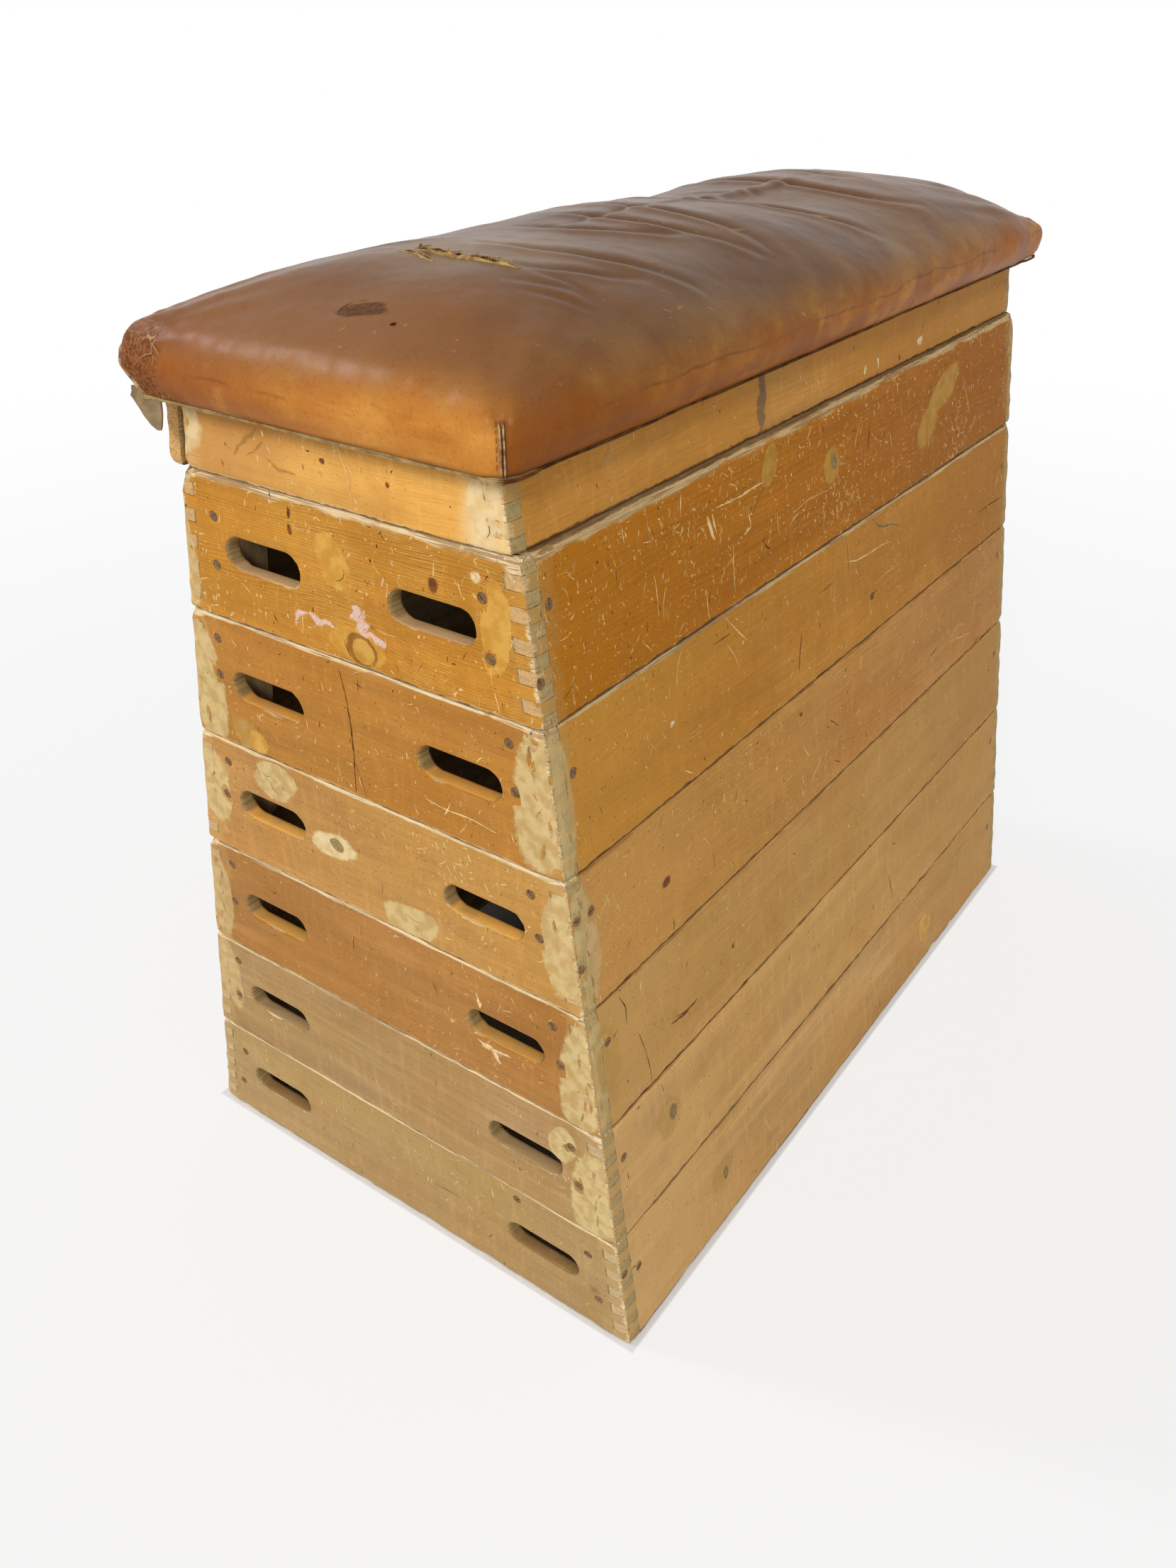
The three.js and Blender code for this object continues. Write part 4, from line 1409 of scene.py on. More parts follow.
# The cushion's trim: the hide's cut lower edge, doubled under and tacked, and an upright sewn
# seam of two leather lips at each corner.
up = Vector((0, 0, 1))
edge_meshes = []
for ply, (drop_to, stand) in enumerate(((0.0001, 0.0002), (-0.0019, 0.0000))):
    edge_sections = []
    for x, y, way_x, way_y in rim_loop(0):
        way = Vector((way_x, way_y, 0))
        spot, _ = lay(hide, (x, y, lid_top + 0.0010), way, 0.0)
        spot = Vector((x, y, lid_top)) if spot is None else spot
        drop = drop_to + 0.0009 * wander((x, y, ply), 0.09, 31) + 0.0003 * wander((x, y, ply), 0.02, 37)
        thick = 0.0011 + 0.0002 * wander((x, y, ply), 0.03, 41)
        middle = Vector((spot.x, spot.y, lid_top + drop)) + way * (stand - 0.0002)
        edge_sections.append(circle(middle, way * thick, up * 0.0011, 1, 10))
    edge_meshes.append(loft(edge_sections, endless=True))
cut_edge_finish, surface, coords = start_finish("cut_leather_edge")
x, y, z = coords.parts()
worn = coords.cloudy(60.0, 3.0)
fray = coords.cloudy(700.0, 2.0)
# Painted light and shade: the cut edge is painted paler at the ends and darker along the long sides.
lit_ends = abs(x).rise(0.712, 0.717)
shaded_long_edge = worn.rise(0.3, 0.7).blend(shade(78, 44, 20), shade(122, 78, 38))
lit_end_edge = worn.rise(0.3, 0.7).blend(shade(140, 112, 70), shade(184, 154, 104))
colour = lit_ends.blend(shaded_long_edge, lit_end_edge)
colour = (fray.rise(0.5, 0.7) * 0.4).blend(colour, shade(70, 46, 28))
looks = {"Base Color": colour, "Roughness": 0.8, "Specular IOR Level": 0.08}
finish_surface(surface, looks, fray, 0.0006)
place_piece("leather_cut_edge", joined(edge_meshes), cut_edge_finish, "lid")

seam_height = 0.056
lip_gap = 0.0017
lip_half = 0.0011
lip_depth = 0.0032
lip_stand = 0.0036
lip_bow = 0.0012
ear_stand = 0.0022
lip_bed = 0.0022
thread_radius = 0.00035
stitch_count = 11
stitch_spacing = 1.55
stitch_away = 0.0052
stitch_length = 0.0026
seam_meshes = []
stitch_meshes = []
for x_side in (-1, 1):
    for y_side in (-1, 1):
        way = Vector((x_side, y_side, 0)).normalized()
        across = Vector((-way.y, way.x, 0))
        path = []
        for step in range(21):
            level = lid_top + 0.001 + (seam_height - 0.001) * step / 20
            target = Vector((x_side * (rim_half_length - 0.01), y_side * (rim_half_width - 0.01), level))
            place, _ = lay(hide, target, way, 0.0)
            if place is not None:
                path.append(place)
        for lip in (-1, 1):
            sections = []
            for step, place in enumerate(path):
                share = step / (len(path) - 1)
                ear = math.exp(-(((share - 0.93) / 0.12) ** 2))
                stand = lip_stand + lip_bow * math.sin(share * math.pi) + ear_stand * ear
                spread = lip_gap * (1 + 0.15 * ear) + 0.0003 * wander(place, 0.012, 5 + lip)
                middle = place + across * lip * spread + way * (stand - lip_bed)
                end_share = min(1, (1 - share) * 7, share * 9 + 0.4)
                wide = across * lip_half * (0.9 + 0.2 * ear)
                sections.append(circle(middle, wide, way * lip_depth, end_share, 12))
            seam_meshes.append(loft(sections))
            for step in range(1, stitch_count + 1):
                spot = min(len(path) - 2, 1 + round(step * stitch_spacing))
                place = path[spot] + across * lip * stitch_away
                stuck, _ = lay(hide, place, way, 0.0002)
                if stuck is None:
                    continue
                thread = []
                for i in range(5):
                    t = i / 4
                    bow = 0.0005 * math.sin(t * math.pi)
                    heart = stuck + up * (t - 0.5) * stitch_length + way * bow
                    thread.append(circle(heart, across, way, thread_radius, 6))
                stitch_meshes.append(loft(thread))


def raw_leather_finish(name, tones, worn, nap, fleck, roughness, depth):
    """Raw or worn leather: two tones, and the nap that flecks and roughens it.

    worn is the scale, detail and top of the noise between the tones, nap the scale and detail
    of the nap, and fleck the colour of its flecks and how strongly they show.
    """
    material, surface, coords = start_finish(name)
    nap_noise = coords.cloudy(*nap)
    colour = coords.cloudy(*worn[:2]).rise(0.35, worn[2]).blend(shade(*tones[0]), shade(*tones[1]))
    colour = (nap_noise.rise(0.5, 0.7) * fleck[1]).blend(colour, shade(*fleck[0]))
    looks = {"Base Color": colour, "Roughness": roughness}
    finish_surface(surface, looks, nap_noise, depth)
    return material


lip_finish = raw_leather_finish(
    "seam_lip_leather", ((126, 84, 50), (204, 172, 128)), (140.0, 3.0, 0.62), (700.0, 2.0),
    ((96, 60, 34), 0.35), 0.7, 0.0005,
)
place_piece("corner_seams", joined(seam_meshes), lip_finish, "lid")
thread_finish, surface, coords = start_finish("waxed_thread")
twist = coords.cloudy(900.0, 1.0).blend(shade(96, 66, 38), shade(150, 112, 68))
feed(surface.inputs, {"Base Color": twist, "Roughness": 0.6})
place_piece("corner_stitches", joined(stitch_meshes), thread_finish, "lid")


# The marks of use: scratches and nicks through the varnish, cracks, knots, smears, and the
# putty and plugs of old repairs. Each is a thin skin laid on its board.
def disc_ring(middle, reach, lean, share, around, wobble):
    """Places round an uneven disc at a share of its reach, or its heart where the share is 0."""
    spots = []
    for i in range(1 if share == 0 else around):
        angle = i / around * 2 * math.pi
        out = (math.cos(angle), math.sin(angle))
        size = share * wobble(out)
        u, v = out[0] * reach[0] * size, out[1] * reach[1] * size
        x = middle[0] + u * math.cos(lean) - v * math.sin(lean)
        spots.append((x, middle[1] + u * math.sin(lean) + v * math.cos(lean)))
    return spots


class MarkSheet:
    """One frame's marks, gathered into one mesh with a finish for each kind of mark."""

    def __init__(self, box):
        self.box = box
        self.screws = screws_of(box)
        self.points = []
        self.faces = []
        self.kinds = []
        self.fades = []

    def spot(self, face, along, height, lift):
        """Where a place on a face, in millimetres, really is on the worn board, off screws."""
        for screw_face, screw_along, screw_height, _ in self.screws:
            if screw_face == face and math.hypot(
                along - screw_along * 1000, height - screw_height * 1000
            ) < 7.5:
                return None
        point, way = face_point(self.box, face, along / 1000, height / 1000)
        place, normal = lay(frame_skins[self.box.name], point, way, lift, 0.035)
        if place is None or (place - point).length > 0.0035 or normal.dot(way) < 0.4:
            return None
        return place

    def add_face(self, kind, corners):
        """One facet of a mark, left out where it misses the board or has no width."""
        if None in corners:
            return
        a, b, c = [self.points[corner] for corner in corners]
        if (b - a).cross(c - a).length > 1e-7:
            self.faces.append(corners)
            self.kinds.append(kind)

    def line(self, kind, face, path, width, lift=0.00012, ragged=0.5, rng=None):
        """A scratch, crack or smear along a path, tapering to its ends."""
        rng = rng or random.Random(len(self.points))
        path = np.array(path, float)
        lengths = np.hypot(*np.diff(path, axis=0).T)
        steps = max(2, int(lengths.sum() / 6))
        marks = np.concatenate([[0], np.cumsum(lengths)])
        at = np.linspace(0, marks[-1], steps + 1)
        x = np.interp(at, marks, path[:, 0])
        h = np.interp(at, marks, path[:, 1])
        rows = []
        for i in range(steps + 1):
            before, after = max(i - 1, 0), min(i + 1, steps)
            way = np.array([x[after] - x[before], h[after] - h[before]])
            way = way / max(np.hypot(*way), 1e-6)
            taper = math.sin(math.pi * (0.06 + 0.88 * i / steps)) ** 0.6
            half = width / 2 * taper * (1 + ragged * rng.uniform(-1, 1))
            sway = ragged * width * 0.35 * rng.uniform(-1, 1)
            row = []
            for side in (-1, 0, 1):
                offset = sway + side * half
                row.append(self.spot(face, x[i] - way[1] * offset, h[i] + way[0] * offset, lift))
            rows.append(row)
        firsts = []
        for row in rows:
            firsts.append(None if None in row else len(self.points))
            if None not in row:
                self.points += row
                self.fades += [0.0, 1.0, 0.0]
        for first, after in zip(firsts, firsts[1:]):
            if first is None or after is None:
                continue
            for i in (0, 1):
                self.faces.append((first + i, first + i + 1, after + i + 1, after + i))
                self.kinds.append(kind)

    def patch(self, kind, face, middle, reach, lean=0.0, ragged=0.25, lift=0.00015, seed=0):
        """A knot, plug or patch of putty: an uneven disc that fades at its rim."""
        around = 26 if max(reach) < 50 else 44
        shares = (0.0, 0.35, 0.62, 0.8, 0.92, 1.0)
        if max(reach) >= 50:
            shares = (0.0, 0.12, 0.24, 0.36, 0.47, 0.58, 0.68, 0.77, 0.85, 0.92, 1.0)

        def wobble(out):
            slow = 1.1 * wander((*out, seed), 1.3, 3 + seed)
            return 1 + ragged * (slow + 0.3 * wander((*out, seed), 0.45, 5 + seed))

        rows = []
        for share in shares:
            row = []
            for along, height in disc_ring(middle, reach, lean, share, around, wobble):
                height = min(max(height, 4), self.box.height * 1000 - 5)
                face_end = half_length
                if face in ("left", "right"):
                    face_end = self.box.half_width(height / 1000)
                face_end = face_end * 1000 - 4
                place = self.spot(face, min(max(along, -face_end), face_end), height, lift)
                row.append(None if place is None else len(self.points))
                if place is not None:
                    self.points.append(place)
                    self.fades.append(1 - share)
            rows.append(row)
        for i in range(around):
            j = (i + 1) % around
            self.add_face(kind, (rows[0][0], rows[1][i], rows[1][j]))
            for inner, outer in zip(rows[1:], rows[2:]):
                self.add_face(kind, (inner[i], outer[i], outer[j]))
                self.add_face(kind, (inner[i], outer[j], inner[j]))


frame_skins = {
    box.name: surface_of(*[board.data for key, board in carriers.items() if key[0] == box.name])
    for box in frames
}


def mark_finish(name, tones, roughness, solid, soft_rim, rough_scale=90.0, rings=0.0):
    """A mark's finish: two tones, how much it hides the board, and how soft its rim is."""
    material, surface, coords = start_finish(name)
    specks = coords.cloudy(rough_scale, 3.0)
    edge = coords.cloudy(160.0, 2.0)
    fade = coords.node("Attribute", attribute_name="fade", output="Fac")
    colour = specks.rise(0.38, 0.62).blend(shade(*tones[0]), shade(*tones[1]))
    if rings:
        circles = ((fade + (specks - 0.5) * 0.15) * rings) % 1.0
        colour = (circles.rise(0.2, 0.8) * 0.5).blend(colour, shade(*scaled(tones[0], 0.7)))
    cover = solid
    if soft_rim >= 0.05:
        gaps = coords.cloudy(420.0, 3.0)
        reach = fade + (edge - 0.5) * 0.22 - gaps.rise(0.6, 0.72) * 0.12
        density = specks.rise(0.3, 0.6) * 0.12 + 0.88
        cover = reach.rise(0.02, 0.02 + soft_rim) * density * solid
    looks = {
        "Base Color": colour, "Roughness": roughness, "Specular IOR Level": 0.1, "Alpha": cover,
    }
    finish_surface(surface, looks, specks, 0.0003)
    return material


mark_kinds = {
    "pale": mark_finish("bare_scratch", ((226, 190, 120), (248, 220, 160)), 0.75, 0.8, 0.01),
    "dull": mark_finish("dull_scratch", ((204, 164, 98), (226, 190, 126)), 0.7, 0.55, 0.01),
    "dark": mark_finish("dark_scratch", ((58, 34, 18), (92, 56, 30)), 0.7, 0.85, 0.01),
    "blue": mark_finish("pencil_line", ((92, 92, 98), (116, 112, 112)), 0.6, 0.7, 0.01),
    "chalk": mark_finish("pink_chalk", ((222, 190, 172), (240, 216, 204)), 0.85, 0.75, 0.5, 340.0),
    "putty": mark_finish("pale_putty", ((206, 178, 118), (222, 199, 140)), 0.6, 0.76, 0.12, 60.0),
    "faint": mark_finish("faint_putty", ((200, 160, 84), (206, 168, 94)), 0.5, 0.55, 0.3, 60.0),
    "amber": mark_finish("varnished_plug", ((212, 158, 62), (228, 180, 84)), 0.42, 0.7, 0.1, 40.0),
    "olive": mark_finish("varnished_putty", ((194, 146, 48), (204, 158, 60)), 0.42, 0.62, 0.2, 60.0),
    "knot": mark_finish("red_knot", ((100, 50, 22), (140, 80, 38)), 0.45, 0.9, 0.4, 130.0, 3.0),
    "plug": mark_finish("end_grain_plug", ((138, 116, 72), (170, 144, 94)), 0.6, 0.85, 0.12, 200.0, 3.0),
    "ring": mark_finish("plug_ring", ((122, 74, 28), (150, 98, 40)), 0.5, 0.7, 0.12, 60.0),
    "stain": mark_finish("grey_stain", ((126, 102, 78), (140, 114, 88)), 0.6, 0.7, 0.6, 60.0),
    "smear": mark_finish("dark_smear", ((138, 98, 52), (152, 110, 62)), 0.6, 0.4, 0.9, 90.0),
    "raw": mark_finish("torn_fibre", ((228, 196, 138), (248, 226, 180)), 0.85, 0.85, 0.5, 200.0),
    "grey": mark_finish("grey_stopping", ((212, 186, 126), (224, 200, 142)), 0.6, 0.55, 0.16, 60.0),
    "cream": mark_finish("cream_stopping", ((228, 202, 146), (240, 220, 170)), 0.6, 0.78, 0.2, 60.0),
}

# Marks that can be made out, in millimetres along the board and up from the frame's foot.
# Each frame's face has its lines as (kind, width, points)
line_marks = (
    ("tier_6", "left", (
        ("pale", 1.3, ((-208, 56), (-209, 38))), ("pale", 1.4, ((-211, 31), (-218, 6))),
        ("pale", 1.8, ((-138, 156), (-136, 140))),
        ("chalk", 8.0, ((82, 26), (79, 38), (72, 46), (60, 48))),
        ("chalk", 14.0, ((58, 48), (44, 40), (30, 42), (19, 41))),
        ("chalk", 26.0, ((-14, 76), (-20, 58), (-30, 40))),
        ("chalk", 16.0, ((-26, 46), (-42, 46), (-58, 36))),
        ("chalk", 10.0, ((-32, 74), (-26, 62), (-22, 56))), ("dark", 1.4, ((72, 172), (73, 156))),
        ("dark", 1.6, ((6, 30), (2, 20), (-2, 12), (-12, 6))),
        ("dark", 1.0, ((9, 99), (-1, 102), (-6, 110), (-4, 118))),
    )),
    ("tier_5", "left", (
        ("dark", 2.0, ((20, 172), (13, 138), (10, 98), (10, 61), (13, 12), (13, 2))),
        ("dark", 1.2, ((-3, 160), (-15, 157))), ("dark", 1.1, ((-10, 167), (-8, 150))),
        ("dark", 1.6, ((121, 160), (115, 164))), ("dark", 1.2, ((150, 114), (148, 104))),
        ("dark", 1.2, ((64, 88), (64, 78))),
        ("pale", 2.0, ((-102, 40), (-130, 36), (-168, 38), (-206, 33))),
    )),
    ("tier_4", "left", (
        ("dark", 0.9, ((196, 166), (190, 150))),
        ("dark", 0.8, ((190, 162), (178, 152), (170, 156), (160, 148))),
        ("dark", 0.7, ((172, 150), (168, 136), (156, 132))), ("dark", 0.8, ((152, 150), (146, 142))),
        ("dark", 0.7, ((-50, 34), (-66, 28), (-80, 30))), ("dark", 0.7, ((-66, 22), (-74, 14))),
    )),
    ("tier_3", "left", (
        ("dark", 1.1, ((207, 141), (199, 137), (193, 142))), ("raw", 7.0, ((-163, 142), (-166, 120))),
        ("raw", 9.0, ((-160, 64), (-184, 58), (-196, 40))), ("raw", 5.0, ((-176, 58), (-214, 62))),
        ("dark", 1.0, ((-90, 122), (-96, 104))),
    )),
    ("tier_1", "left", (
        ("dark", 1.0, ((-60, 92), (-110, 96))),
    )),
    ("lid", "left", (
        ("dark", 1.2, ((-208, 40), (-213, 34), (-214, 20), (-210, 15))),
        ("smear", 9.0, ((150, 32), (132, 46), (106, 66))), ("smear", 6.0, ((96, 36), (78, 27), (52, 26))),
        ("smear", 5.0, ((128, 34), (112, 42), (98, 54))), ("pale", 1.2, ((-10, 84), (-26, 40), (-28, 8))),
        ("dull", 2.2, ((-22, 46), (-30, 34), (-26, 24))), ("pale", 2.0, ((98, 68), (96, 60))),
        ("pale", 1.6, ((72, 66), (70, 58))), ("pale", 1.6, ((37, 62), (34, 52))),
        ("dark", 1.2, ((40, 41), (39, 34))),
    )),
    ("lid", "front", (
        ("dull", 6.5, ((-508, 67), (-512, 56), (-515, 43))),
        ("stain", 24.0, ((-179, 87), (-182, 60), (-184, 40), (-187, 3))),
    )),
    ("tier_6", "front", (
        ("pale", 5.5, ((-344, 128), (-338, 112), (-330, 96))),
        ("pale", 3.5, ((-332, 128), (-329, 114), (-324, 102))),
        ("pale", 2.6, ((-247, 103), (-243, 86), (-262, 82))),
        ("dull", 1.8, ((-468, 174), (-466, 150), (-464, 126))), ("pale", 1.5, ((-515, 167), (-513, 147))),
        ("pale", 1.2, ((-462, 96), (-460, 70), (-461, 47))),
        ("pale", 1.3, ((-288, 78), (-291, 48), (-290, 18))), ("pale", 1.5, ((-357, 41), (-354, 6))),
        ("pale", 2.0, ((-396, 168), (-400, 144))),
        ("pale", 2.2, ((-199, 132), (-240, 132), (-264, 130), (-322, 132))),
        ("smear", 9.0, ((-199, 130), (-218, 118), (-240, 97))),
        ("dark", 2.0, ((105, 140), (101, 118), (94, 96))),
        ("dark", 1.5, ((-218, 62), (-206, 48), (-196, 44))),
        ("dull", 2.0, ((-140, 70), (-90, 78), (-30, 74))),
    )),
    ("tier_5", "front", (
        ("pale", 1.6, ((-318, 178), (-290, 150), (-269, 130))),
        ("pale", 1.0, ((-317, 142), (-300, 120), (-293, 101))), ("dark", 1.0, ((-350, 154), (-306, 153))),
        ("dark", 1.8, ((-121, 84), (-128, 60), (-133, 34))),
        ("dull", 1.0, ((-520, 110), (-501, 91), (-492, 78), (-489, 66))),
        ("dull", 1.8, ((-432, 62), (-410, 58), (-388, 58))),
        ("pale", 1.8, ((17, 141), (52, 132), (89, 129), (140, 128), (172, 124))),
        ("blue", 1.4, ((21, 178), (25, 150), (30, 112))),
        ("blue", 1.8, ((108, 177), (130, 160), (146, 154), (180, 148), (205, 138))),
        ("dark", 1.6, ((654, 58), (600, 61), (538, 62))),
        ("dark", 1.1, ((-64, 123), (-46, 122), (-27, 125))),
        ("dull", 3.0, ((113, 77), (160, 80), (205, 79))),
        ("dull", 1.2, ((-13, 177), (-20, 120), (-24, 76))),
    )),
    ("tier_4", "front", (
        ("dull", 3.0, ((535, 126), (528, 84), (523, 44))),
        ("pale", 1.3, ((424, 52), (470, 42), (515, 34))),
        ("dark", 1.3, ((317, 52), (342, 60), (364, 64))),
        ("dull", 1.4, ((147, 182), (146, 100), (145, 12))),
        ("pale", 1.6, ((-70, 60), (-96, 44), (-112, 26))),
    )),
    ("tier_3", "front", (
        ("dark", 1.2, ((-617, 172), (-606, 150), (-608, 124))),
        ("dark", 1.0, ((-586, 96), (-576, 60), (-571, 30), (-570, 3))),
        ("knot", 5.0, ((-516, 60), (-484, 55), (-452, 57))),
        ("smear", 9.0, ((-627, 130), (-645, 122), (-662, 128))),
        ("dark", 1.0, ((-508, 66), (-486, 58), (-460, 55))),
    )),
    ("tier_2", "front", (
        ("dark", 1.2, ((160, 92), (170, 60), (177, 36))), ("dark", 1.1, ((-552, 172), (-548, 156))),
        ("dull", 1.8, ((-30, 150), (10, 146), (66, 148))),
    )),
    ("tier_1", "front", (
        ("dark", 1.3, ((-664, 120), (-654, 124), (-646, 114))),
    )),
)
# Patches that can be made out, as (kind, middle, reach, lean, raggedness)
patch_marks = (
    ("tier_6", "left", (
        ("knot", (72, 163), (3.5, 7), 0.1, 0.3), ("knot", (73, 144), (4, 8), 0.0, 0.3),
        ("amber", (16, 122), (30, 28), 0.5, 0.28), ("knot", (-135, 130), (8, 9), 0.0, 0.2),
        ("raw", (-193, 153), (9, 8), 0.0, 0.1), ("amber", (-12, 28), (44, 26), 0.0, 0.2),
        ("ring", (-21, 24), (25, 22), 0.3, 0.08), ("amber", (-24, 22), (19, 17), 0.3, 0.06),
        ("grey", (262, 66), (22, 74), 0.0, 0.14), ("amber", (-216, 100), (22, 60), 0.1, 0.16),
    )),
    ("tier_5", "left", (
        ("putty", (272, 84), (40, 118), -0.1, 0.12), ("putty", (-272, 92), (40, 100), 0.06, 0.2),
        ("faint", (200, 18), (40, 28), 0.5, 0.16), ("amber", (182, 19), (18, 17), 0.0, 0.05),
    )),
    ("tier_4", "left", (
        ("putty", (166, 148), (44, 30), -0.15, 0.2), ("cream", (62, 90), (44, 22), -0.2, 0.2),
        ("plug", (60, 92), (13, 10), 0.1, 0.1), ("putty", (-62, 25), (52, 25), -0.15, 0.2),
        ("putty", (-300, 96), (38, 84), 0.05, 0.2), ("putty", (296, 104), (38, 66), 0.1, 0.25),
    )),
    ("tier_3", "left", (
        ("grey", (322, 80), (28, 84), 0.05, 0.12), ("putty", (-326, 84), (36, 104), 0.08, 0.16),
    )),
    ("tier_2", "left", (
        ("putty", (-291, 136), (24, 34), 0.1, 0.15), ("putty", (-346, 66), (40, 92), 0.05, 0.16),
        ("grey", (334, 110), (26, 76), 0.05, 0.14), ("plug", (-304, 141), (7, 9), 0.4, 0.2),
    )),
    ("lid", "left", (
        ("cream", (-212, 48), (32, 60), 0.12, 0.14), ("cream", (228, 60), (36, 44), 0.0, 0.16),
    )),
    ("tier_5", "front", (
        ("grey", (-676, 92), (26, 100), 0.0, 0.16), ("raw", (-452, 94), (6, 5), 0.3, 0.4),
        ("knot", (106, 61), (9, 7), 0.2, 0.2),
    )),
    ("tier_4", "front", (
        ("grey", (-666, 92), (30, 92), 0.0, 0.14), ("knot", (-496, 81), (13, 8), 0.3, 0.2),
        ("knot", (-132, 151), (5, 4), 0.0, 0.2),
    )),
    ("tier_3", "front", (
        ("grey", (-672, 92), (20, 90), 0.0, 0.14), ("knot", (-353, 81), (4, 4), 0.0, 0.2),
        ("faint", (-652, 96), (28, 66), 0.08, 0.2),
    )),
    ("tier_1", "left", (
        ("smear", (-343, 72), (12, 12), 0.4, 0.3),
    )),
    ("tier_6", "front", (
        ("olive", (-192, 146), (34, 22), 0.9, 0.2), ("olive", (372, 122), (66, 30), 0.3, 0.2),
        ("olive", (306, 82), (46, 28), 0.4, 0.18), ("olive", (-20, 104), (28, 26), 0.9, 0.18),
        ("plug", (-12, 108), (9, 12), 0.4, 0.1),
    )),
    ("tier_2", "front", (
        ("dark", (-646, 124), (4.5, 8), 0.1, 0.2), ("faint", (-540, 108), (30, 38), 0.2, 0.18),
        ("plug", (-531, 110), (10, 14), 0.1, 0.1),
    )),
    ("tier_1", "front", (
        ("knot", (-645, 114), (7, 11), 0.1, 0.2), ("faint", (-424, 90), (32, 26), 0.1, 0.18),
        ("plug", (-417, 86), (7, 12), 0.1, 0.1), ("faint", (482, 128), (74, 24), 0.12, 0.18),
        ("amber", (322, 74), (26, 32), 0.1, 0.3),
    )),
    ("lid", "front", (
        ("raw", (111, 18), (6, 7), 0.2, 0.4), ("raw", (153, 20), (4, 8), 0.1, 0.4),
        ("raw", (300, 22), (16, 8), 0.2, 0.4), ("knot", (228, 12), (4, 5), 0.0, 0.2),
    )),
    ("lid", "left", (
        ("knot", (10, 50), (5, 4), 0.0, 0.2), ("knot", (-82, 42), (4, 4), 0.0, 0.2),
    )),
    ("tier_5", "back", (
        ("putty", (-420, 70), (46, 22), 0.2, 0.3), ("plug", (-410, 74), (10, 12), 0.2, 0.1),
    )),
    ("tier_3", "back", (
        ("knot", (210, 96), (12, 9), 0.2, 0.2),
    )),
    ("tier_6", "back", (
        ("olive", (-250, 96), (48, 26), 0.3, 0.3), ("knot", (330, 58), (8, 7), 0.0, 0.2),
    )),
    ("tier_2", "back", (
        ("putty", (480, 112), (40, 24), 0.2, 0.3),
    )),
    ("tier_4", "back", (
        ("knot", (-60, 120), (7, 6), 0.0, 0.2),
    )),
    ("tier_1", "back", (
        ("knot", (-330, 84), (9, 7), 0.1, 0.2),
    )),
    ("tier_6", "right", (
        ("amber", (-20, 120), (32, 24), 0.4, 0.25), ("knot", (122, 138), (7, 8), 0.1, 0.2),
    )),
    ("tier_5", "right", (
        ("knot", (20, 66), (8, 7), 0.2, 0.2),
    )),
    ("tier_4", "right", (
        ("putty", (-44, 82), (44, 20), 0.2, 0.3),
    )),
    ("tier_3", "right", (
        ("putty", (96, 148), (40, 18), -0.2, 0.3),
    )),
    ("tier_2", "right", (
        ("knot", (-84, 120), (9, 7), 0.1, 0.2),
    )),
    ("tier_1", "right", (
        ("knot", (60, 96), (6, 6), 0.1, 0.2),
    )),
)
# How many chance scratches each frame's long boards and end boards carry
chance_marks = {
    "lid": (110, 50), "tier_6": (900, 330), "tier_5": (260, 150), "tier_4": (330, 130),
    "tier_3": (180, 90), "tier_2": (160, 60), "tier_1": (150, 70),
}

patch_lift = 0.00022
stack_lift = 0.00002
line_lift = 0.0004

for box in frames:
    sheet = MarkSheet(box)
    rng = random.Random(box.seed + 500)
    stack = 0
    for name, face, patches in patch_marks:
        for kind, middle, reach, lean, ragged in patches if name == box.name else ():
            stack += 1
            lift = patch_lift + stack_lift * stack
            sheet.patch(kind, face, middle, reach, lean, ragged, lift, stack)
    for name, face, lines in line_marks:
        for kind, width, path in lines if name == box.name else ():
            sheet.line(kind, face, path, width, lift=line_lift, rng=rng)
    for face in ("front", "back", "left", "right"):
        is_long = face in ("front", "back")
        count = chance_marks[box.name][0 if is_long else 1]
        for _ in range(count):
            top = box.height * 1000
            height = top * (1 - rng.random() ** 1.25) if box.name == "tier_6" else rng.uniform(4, top - 4)
            reach = half_length * 1000 - 6 if is_long else box.half_width(height / 1000) * 1000 - 6
            along = rng.uniform(-reach, reach)
            length = min(rng.lognormvariate(1.7, 0.75), 60)
            lean = rng.gauss(math.pi / 2, 0.35) if rng.random() < 0.6 else rng.uniform(0, math.pi)
            kind = rng.choices(("pale", "dull", "dark"), (5, 4, 1.3))[0]
            width = rng.uniform(0.6, 1.5) * (1.6 if length < 7 else 1)
            bend = rng.uniform(-0.12, 0.12) * length
            way = (math.cos(lean), math.sin(lean))
            path = (
                (along - way[0] * length / 2, height - way[1] * length / 2),
                (along - way[1] * bend, height + way[0] * bend),
                (along + way[0] * length / 2, height + way[1] * length / 2),
            )
            if min(p[1] for p in path) < 2 or max(p[1] for p in path) > top - 2:
                continue
            sheet.line(kind, face, path, width, rng=rng)
    mesh = bpy.data.meshes.new(f"{box.name}_marks")
    mesh.from_pydata([tuple(p) for p in sheet.points], [], sheet.faces)
    names = sorted(set(sheet.kinds))
    for name in names:
        mesh.materials.append(mark_kinds[name])
    mesh.polygons.foreach_set("material_index", [names.index(kind) for kind in sheet.kinds])
    note_points(mesh, "fade", sheet.fades)
    marks = place_piece(f"{box.name}_marks", mesh, None, box.name)
    marks.visible_shadow = False


